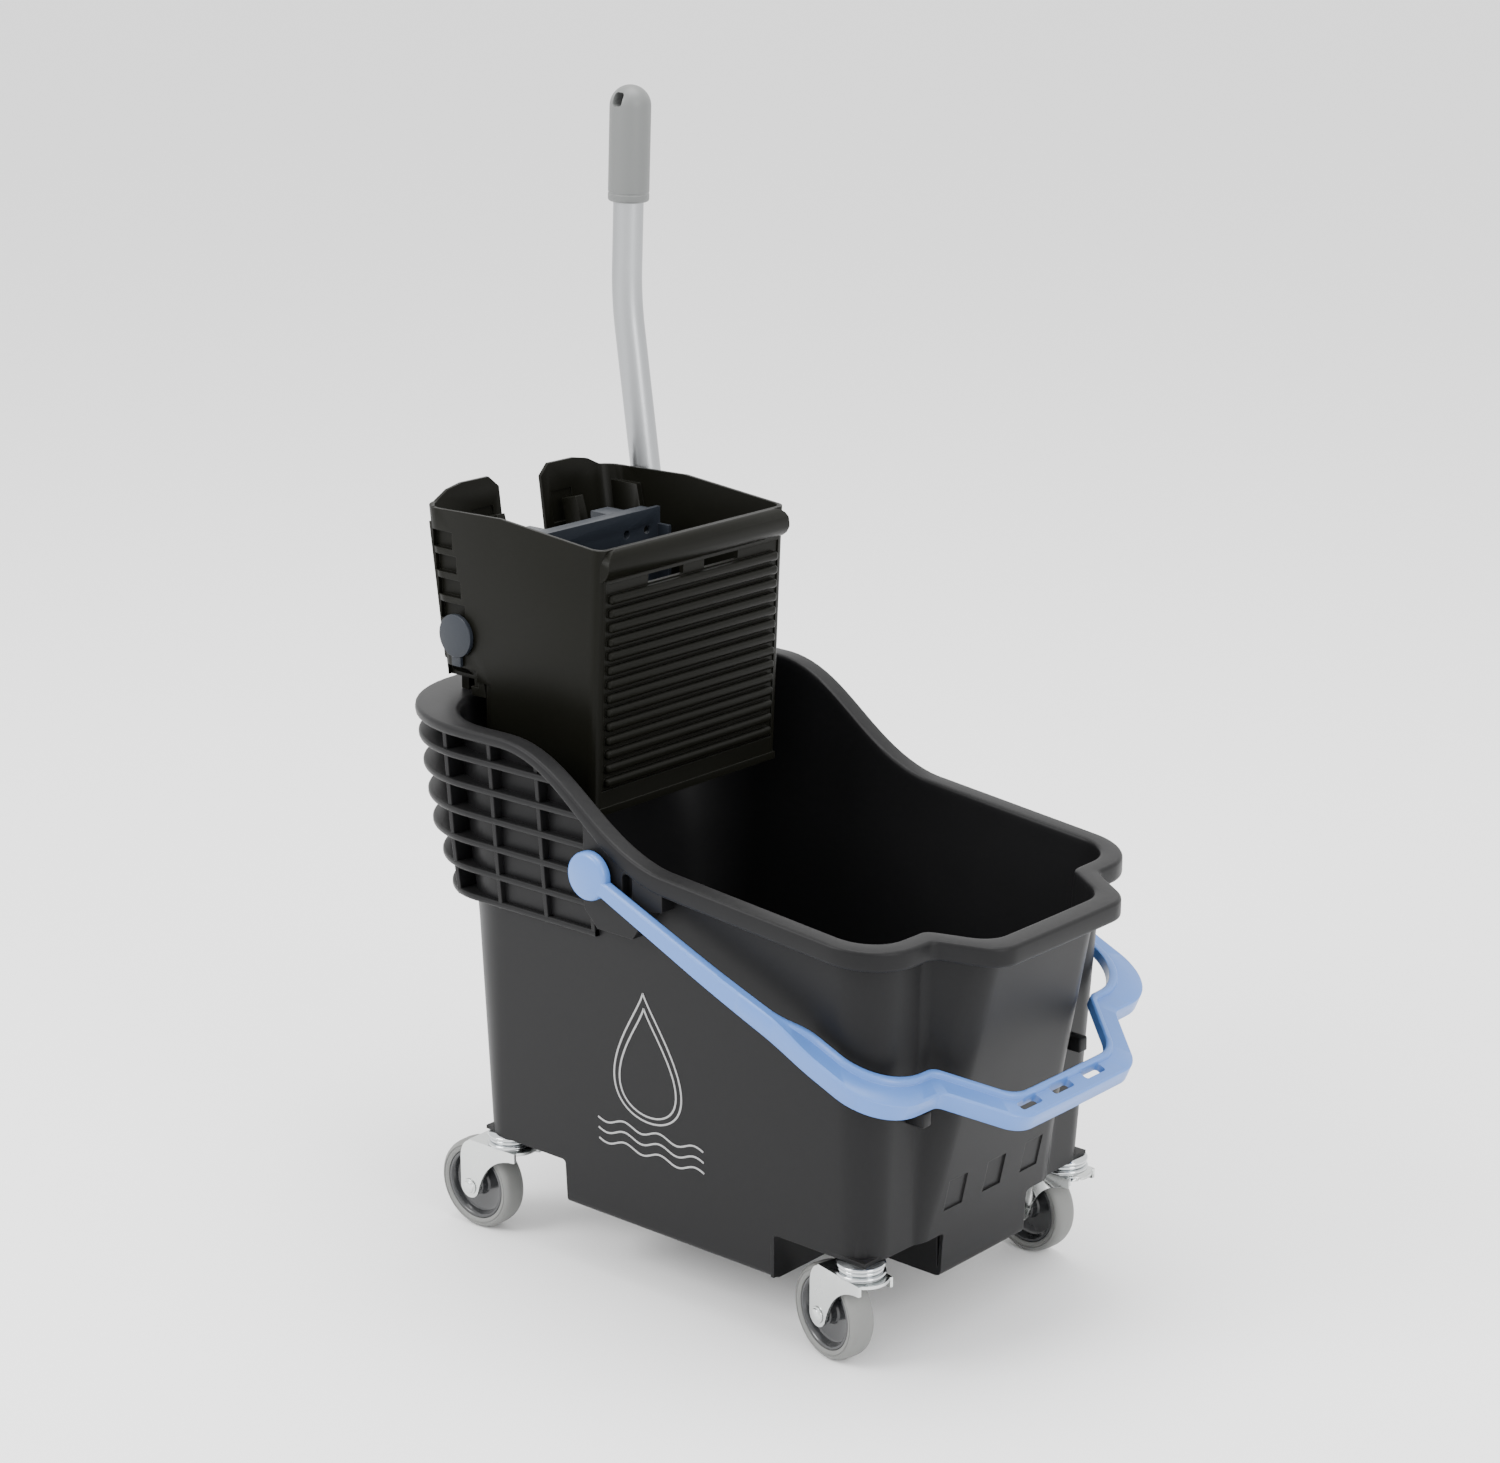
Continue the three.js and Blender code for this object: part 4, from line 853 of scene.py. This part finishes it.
emblem = {
    "middle": (-20, 203), "halfWidth": 39, "halfHeight": 54, "fullness": 1.25, "point": 1.5,
    "sizes": (1.0, 0.84), "sink": 24, "stroke": 1.5, "lift": 0.4, "root": 0.5,
    "waves": (140, 131, 122), "waveRun": 108, "waveLength": 36, "waveHeight": 2.6}


def strokeOf(bm, points, closed):
    # a raised line on the near wall, along points of (X, Z)
    count = len(points)

    def strokePoint(i, j):
        here = points[i % count]
        before = points[(i - 1) % count] if closed or i else here
        after = points[(i + 1) % count] if closed or i < count - 1 else here
        across = Vector((before[1] - after[1], after[0] - before[0])).normalized() * emblem["stroke"] / 2
        x, z = Vector(here) + across * (-1 if j % 4 in (0, 1) else 1)
        lift = emblem["lift"] if j % 4 in (1, 2) else -emblem["root"]
        return Vector((x, -wallPlan(z, bucket["wall"] + lift)["side"] * (1 - bucket["taper"] * x), z))

    sheetOf(bm, count if closed else count - 1, 4, strokePoint)


def makeEmblem():
    # a plain printed water drop over three waves
    m = emblem
    bm = bmesh.new()
    middleX, middleZ = m["middle"]
    for size in m["sizes"]:
        outline = []
        for k in range(96):
            turn = 2 * math.pi * (k + 0.5) / 96
            reach = size * m["halfWidth"] * m["fullness"]
            x = middleX + reach * math.sin(turn) * math.sin(turn / 2) ** m["point"]
            outline.append((x, middleZ - m["sink"] * (1 - size) + size * m["halfHeight"] * math.cos(turn)))
        strokeOf(bm, outline, True)
    across = [m["waveRun"] * (k / 60 - 0.5) for k in range(61)]
    for z in m["waves"]:
        wave = [(middleX + a, z + m["waveHeight"] * math.sin(a * 2 * math.pi / m["waveLength"])) for a in across]
        strokeOf(bm, wave, False)
    closeUp(bm, 0.001)
    settle(objectOf(bm, "printed_drop"), "bucket", finish["palePrint"])


makeShelves()
makeRibs()
makeBrackets()
makeEmblem()
print("lattice and brackets made")
makeBail()
makeDiscs()
print("bail made")


# The wringer and press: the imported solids, cleaned and with rounded edges.

softenedNodes = (
    ("wringer_frame", "wringer_body", "wringer", "blackPlastic", 1.2, "wringer_plastic"),
    ("drain_floor", "drain_grid", "wringer", "blackPlastic", 0.6, "wringer_plastic"),
    ("near_pivot_cap", "pivot_cap", "wringer", "slatePlastic", 0.6, "press_plastic"),
    ("far_pivot_bush", "pivot_bush", "wringer", "slatePlastic", 0.6, "press_plastic"),
    ("press_plate", "pressing_plate", "press", "slatePlastic", 0.8, "press_plastic"),
    ("press_axle", "axle_rod", "lever", "satinTube", 0.6, "lever_steel"),
    ("near_cam", "cam_near", "lever", "blackPlastic", 0.8, "wringer_plastic"),
    ("far_cam", "cam_far", "lever", "blackPlastic", 0.8, "wringer_plastic"),
    ("lever_socket", "lever_sleeve", "lever", "blackPlastic", 0.8, "wringer_plastic"),
    ("lever_nut", "lever_hex_nut", "lever", "zincPlate", 0.5, "zinc_plate"))
for node, name, body, look, width, slot in softenedNodes:
    softened(node, name, body, finish[look], width)

panel = {
    "half": 99, "bottom": 386, "top": 551, "ribs": 14, "ribTop": 544, "ribShare": (0.2, 0.9), "ribEnd": 2,
    "back": -5, "groove": -1, "ribRoot": -3, "crest": 4.2, "slot": (12, 52), "rounding": 3.1,
    "face": ((366, -109), (578, -99))}


def makePanel():
    # the ribbed panel, drawn against a flat face and then leaned with the wringer's front
    p = panel
    bm = bmesh.new()
    near, far = p["slot"]
    right = [(p["half"], p["bottom"]), (p["half"], p["top"]), (far, p["top"]), (far, p["ribTop"]),
             (near, p["ribTop"]), (near, p["top"])]
    outline = right + [(-y, z) for y, z in reversed(right)]
    plateOf(bm, [(p["back"], y, z) for y, z in outline], p["groove"] - p["back"], (1, 0, 0))
    pitch = (p["ribTop"] - p["bottom"]) / p["ribs"]
    low, high = p["ribShare"]
    end = p["half"] - p["ribEnd"]
    for k in range(p["ribs"]):
        foot = p["bottom"] + k * pitch
        block(bm, (p["ribRoot"], -end, foot + low * pitch), (p["crest"], end, foot + high * pitch), p["rounding"], 5)
    (z0, x0), (z1, x1) = p["face"]
    for v in bm.verts:
        v.co.x += blend(x0, x1, (v.co.z - z0) / (z1 - z0))
    piece = objectOf(bm, "ribbed_panel")
    sharpen(piece, 50)
    settle(piece, "wringer", finish["blackPlastic"], ("ribbed_front_panel",))


makePanel()
print("wringer made")


lever = {
    "axle": (-254, 487), "y": 124.6, "bendZ": 722, "bendRun": 25, "lean": 8, "topLean": 2.4, "radius": 12.5,
    "foot": 499, "top": 872, "gripFoot": 802, "gripTop": 896, "gripRadius": 17, "gripPlay": 0.3, "boreDrop": 24,
    "hangHole": (5.5, 16.5), "holeHalf": 5}


def leverPoint(z):
    # the tube's centreline, straight below and above its bend
    v = lever
    bendX = v["axle"][0] - (v["bendZ"] - v["axle"][1]) * math.tan(math.radians(v["lean"]))
    lean = -v["lean"] if z < v["bendZ"] else v["topLean"]
    return Vector((bendX + (z - v["bendZ"]) * math.tan(math.radians(lean)), v["y"], z))


def makeLever():
    v = lever
    low, corner, high = (leverPoint(v["bendZ"] + d * v["bendRun"]) for d in (-1, 0, 1))
    path = [leverPoint(v["foot"]).lerp(low, k / 6) for k in range(6)]
    path += [Vector(p) for p in bowed(low, corner, high, 16)]
    path += [high.lerp(leverPoint(v["top"]), k / 4) for k in range(1, 5)]

    def tubePoint(i, j):
        here = path[j]
        along = (path[min(j + 1, len(path) - 1)] - path[max(j - 1, 0)]).normalized()
        turn = 2 * math.pi * i / 48
        across = Vector((along.z, 0, -along.x))
        return here + v["radius"] * (across * math.cos(turn) + Vector((0, 1, 0)) * math.sin(turn))

    bm = bmesh.new()
    sheetOf(bm, 48, len(path) - 1, tubePoint)
    closeUp(bm)
    tube = objectOf(bm, "lever_handle")
    sharpen(tube, 50)
    settle(tube, "lever", finish["satinTube"], ("lever_tube",))


def makeGrip():
    v = lever
    radius, height = v["gripRadius"], v["gripTop"] - v["gripFoot"]
    bore, roof = v["radius"] + v["gripPlay"], height - v["boreDrop"]
    profile = [(bore, 0), (radius - 1.6, 0), (radius - 0.5, 0.6), (radius, 1.8), (radius, 6)]
    profile += [(radius - 0.35, 6.4), (radius - 0.35, 7.6), (radius, 8), (radius, height - radius)]
    for k in range(1, 13):
        turn = math.pi / 2 * k / 12
        profile.append((radius * math.cos(turn), height - radius + radius * math.sin(turn)))
    profile += [(0, roof), (bore, roof)]
    bm = bmesh.new()
    turnedBody(bm, profile, 56)
    seat = Matrix.Translation(leverPoint(v["gripFoot"])) @ Matrix.Rotation(math.radians(v["topLean"]), 4, "Y")
    grip = objectOf(bm, "vinyl_grip", seat)
    hole = bmesh.new()
    high, low = v["hangHole"]
    block(hole, (-v["holeHalf"], -40, height - low), (v["holeHalf"], 40, height - high), 3.0)
    carve(grip, objectOf(hole, "tool", seat))
    sharpen(grip, 40)
    settle(grip, "lever", finish["greyVinyl"], ("lever_grip",))


makeLever()
makeGrip()
print("lever made")


# Castors: each is drawn with its swivel axis on Z and its wheel trailing towards -X.

castorSize = {
    "wheel": 37.5, "trail": 32, "tyreHalf": 11, "hub": 29, "hubHalf": 9.5, "legInside": 13.5, "sheet": 2.5,
    "top": 79, "race": 19, "ceiling": 91, "stem": 5.5, "stemRise": 35, "play": 0.3,
    "ringHalf": 1.7, "ringCore": (17.5, 16.5), "rings": ((81.6, 19.0), (85.2, 17.6), (88.6, 18.6)),
    "socket": (8.3, 92.5, 130)}
forkShape = {
    "front": 18, "frontDepth": 8, "frontPull": (-14, 10), "eye": 9.5, "eyeStart": -0.3, "back": 16,
    "backPull": 8, "backEnd": 6, "crownFront": 8, "crownMiddle": 4, "crownTurn": 0.95}


def onSwivel(name):
    x, y, yaw = castorSpots[name]
    return Matrix.Translation((x, y, 0)) @ Matrix.Rotation(math.radians(yaw), 4, "Z")


def onWheel(name):
    c = castorSize
    return onSwivel(name) @ Matrix.Translation((-c["trail"], 0, c["wheel"])) @ Matrix.Rotation(math.pi / 2, 4, "X")


def mirrored(profile):
    return profile + [(r, -h) for r, h in reversed(profile)]


def turnedPiece(name, profile, seat, steps, body, material, node, angle=35):
    bm = bmesh.new()
    turnedBody(bm, profile, steps)
    piece = objectOf(bm, name, seat)
    sharpen(piece, angle)
    settle(piece, body, material, (node,) if node else ())


def legOutline():
    # the side of a fork leg: down its front, round the eye and up its back
    c, f = castorSize, forkShape
    top, wheel, trail, eye = c["top"], c["wheel"], c["trail"], f["eye"]
    pullX, pullDrop = f["frontPull"]
    foot = (-trail + eye * math.cos(f["eyeStart"]), wheel + eye * math.sin(f["eyeStart"]))
    outline = [(f["front"], top)]
    outline += bowed((f["front"], top - f["frontDepth"]), (pullX, top - pullDrop), foot, 10)
    for k in range(1, 19):
        turn = blend(f["eyeStart"], -math.pi, k / 18)
        outline.append((-trail + eye * math.cos(turn), wheel + eye * math.sin(turn)))
    outline += bowed((-trail - eye, top - f["back"]), (-trail - f["backPull"], top), (-trail + f["backEnd"], top), 8)
    return outline


def makeFork(name):
    c, f = castorSize, forkShape
    half = c["legInside"] + c["sheet"]
    bm = bmesh.new()
    for side in (-1, 1):
        y0, y1 = span(side, c["legInside"], half)
        plateOf(bm, [(x, y0, z) for x, z in legOutline()], y1 - y0, (0, 1, 0))
    fork = objectOf(bm, name + "_bracket", onSwivel(name))
    crown = [(-c["trail"], -half), (f["crownFront"], -half)]
    for k in range(25):
        turn = blend(-f["crownTurn"], f["crownTurn"], k / 24)
        crown.append((f["crownMiddle"] + c["race"] * math.cos(turn), c["race"] * math.sin(turn)))
    crown += [(f["crownFront"], half), (-c["trail"], half)]
    bm = bmesh.new()
    plateOf(bm, [(x, y, c["top"] - c["sheet"]) for x, y in crown], c["sheet"], (0, 0, 1))
    carve(fork, objectOf(bm, "tool", onSwivel(name)), "UNION")
    roundEdges(fork, 0.9)
    settle(fork, name + "_swivel", finish["zincPlate"], (name + "_fork",))


def ringProfile():
    # three bright rings, one over another
    c = castorSize
    low, high, bore, half = c["top"] + c["play"], c["ceiling"] - c["play"], c["stem"] + c["play"], c["ringHalf"]
    foot, head = c["ringCore"]
    profile = [(bore, low), (foot, low)]
    for middle, reach in c["rings"]:
        for k in range(7):
            turn = math.pi * (k / 6 - 0.5)
            profile.append((reach - half + half * math.cos(turn), middle + half * math.sin(turn)))
    return profile + [(head, high), (bore, high)]


def castorPieces(name):
    c = castorSize
    half, reach, hub = c["tyreHalf"], c["wheel"], c["hub"]
    tyre = mirrored([(hub + 0.3, half - 1.4), (hub + 1.2, half - 0.7), (hub + 3.2, half - 0.3),
                     (hub + 3.5, half - 0.9), (hub + 4.3, half - 0.9), (hub + 4.6, half - 0.1),
                     (reach - 2.6, half - 0.7), (reach - 1.2, half - 2.2), (reach - 0.35, half - 4.4),
                     (reach, half - 7.4)])
    turnedPiece(name + "_tread", tyre, onWheel(name), 72, name + "_wheel", finish["greyTyre"],
                name + "_tyre")
    bore, rise = 4.4, c["hubHalf"]
    disc = mirrored([(bore, rise + 1), (8, rise + 1), (9, rise), (9.5, 4.4), (10.8, 3), (22.4, 3), (24.4, 3.9),
                     (25.9, rise - 0.9), (26.9, rise), (hub - 0.5, rise), (hub, rise - 0.5)])
    turnedPiece(name + "_disc", disc, onWheel(name), 64, name + "_wheel", finish["hubPlastic"],
                name + "_hub")
    out = c["legInside"] + c["sheet"] + c["play"]
    bolt = mirrored([(0, out + 2.9), (2.8, out + 2.7), (4.9, out + 1.9), (5.4, out + 1.0), (6.6, out + 0.9),
                     (6.8, out), (4, out)])
    turnedPiece(name + "_axle", bolt, onWheel(name), 32, name + "_swivel", finish["zincPlate"],
                name + "_axle_bolt")
    makeFork(name)
    turnedPiece(name + "_rings", ringProfile(), onSwivel(name), 56, "bucket", finish["brightRing"],
                name + "_ball_race", 60)
    under, stem, tip = c["top"] - c["sheet"] - c["play"], c["stem"], c["ceiling"] + c["stemRise"]
    post = [(0, under - 3), (stem + 1.6, under - 3), (stem + 2.8, under - 2), (stem + 3.5, under), (stem, under),
            (stem, tip - 1), (stem - 1, tip), (0, tip)]
    turnedPiece(name + "_kingpin", post, onSwivel(name), 32, "bucket", finish["zincPlate"],
                name + "_stem")
    radius, foot, top = c["socket"]
    boss = [(0, foot), (radius, foot), (radius, top - 0.8), (radius - 0.8, top), (0, top)]
    turnedPiece(name + "_socket", boss, onSwivel(name), 32, "bucket", finish["charcoalPlastic"], None)


for name in castorSpots:
    castorPieces(name)
print("castors made")


# camera, lights and floor

view = {"azimuth": 41.1, "elevation": 16.6, "distance": 2.546, "lens": 80.8, "target": (0.0, -0.0497, 0.4445)}
studio = {
    "floorHalf": 30.0, "floorColour": (0.93, 0.93, 0.93, 1), "skyStrength": 1.8,
    "lamps": (("keyLight", (-1.2, -2.6, 2.4), (0, 0, 0.4), (1.6, 1.6), 100),
              ("frontLight", (3.0, -0.4, 1.6), (0, 0, 0.4), (1.2, 1.8), 50),
              ("topLight", (0, 0.3, 3.2), (0, 0, 0.3), (2.0, 2.0), 90))}


def makeCamera():
    a, e = math.radians(view["azimuth"]), math.radians(view["elevation"])
    back = Vector((math.sin(a) * math.cos(e), -math.cos(a) * math.cos(e), math.sin(e)))
    target = Vector(view["target"]) + Vector((sumpX * 0.001, 0, 0))
    data = bpy.data.cameras.new("camera")
    data.lens = view["lens"]
    data.sensor_width = 36.0
    data.clip_end = 50.0
    camera = linked("camera", data)
    camera.location = target + back * view["distance"]
    camera.rotation_mode = "QUATERNION"
    camera.rotation_quaternion = (-back).to_track_quat("-Z", "Y")
    bpy.context.scene.camera = camera


def softbox(name, where, aim, size, power):
    data = bpy.data.lights.new(name, "AREA")
    data.shape = "RECTANGLE"
    data.size, data.size_y = size
    data.energy = power
    lamp = linked(name, data)
    lamp.location = where
    lamp.rotation_mode = "QUATERNION"
    lamp.rotation_quaternion = (Vector(aim) - Vector(where)).to_track_quat("-Z", "Y")


def makeFloor():
    bm = bmesh.new()
    bmesh.ops.create_grid(bm, x_segments=2, y_segments=2, size=studio["floorHalf"])
    floor = meshObject(bm, "floor")
    material = bpy.data.materials.new("paleFloor")
    material.use_nodes = True
    shader = material.node_tree.nodes["Principled BSDF"]
    shader.inputs["Base Color"].default_value = studio["floorColour"]
    shader.inputs["Roughness"].default_value = 0.9
    shader.inputs["Specular IOR Level"].default_value = 0.1
    floor.data.materials.append(material)


def makeSky():
    world = bpy.data.worlds.new("studio")
    world.use_nodes = True
    sky = world.node_tree.nodes["Background"]
    sky.inputs["Color"].default_value = (1, 1, 1, 1)
    sky.inputs["Strength"].default_value = studio["skyStrength"]
    bpy.context.scene.world = world


makeCamera()
makeFloor()
makeSky()
for lamp in studio["lamps"]:
    softbox(*lamp)
print("studio made")
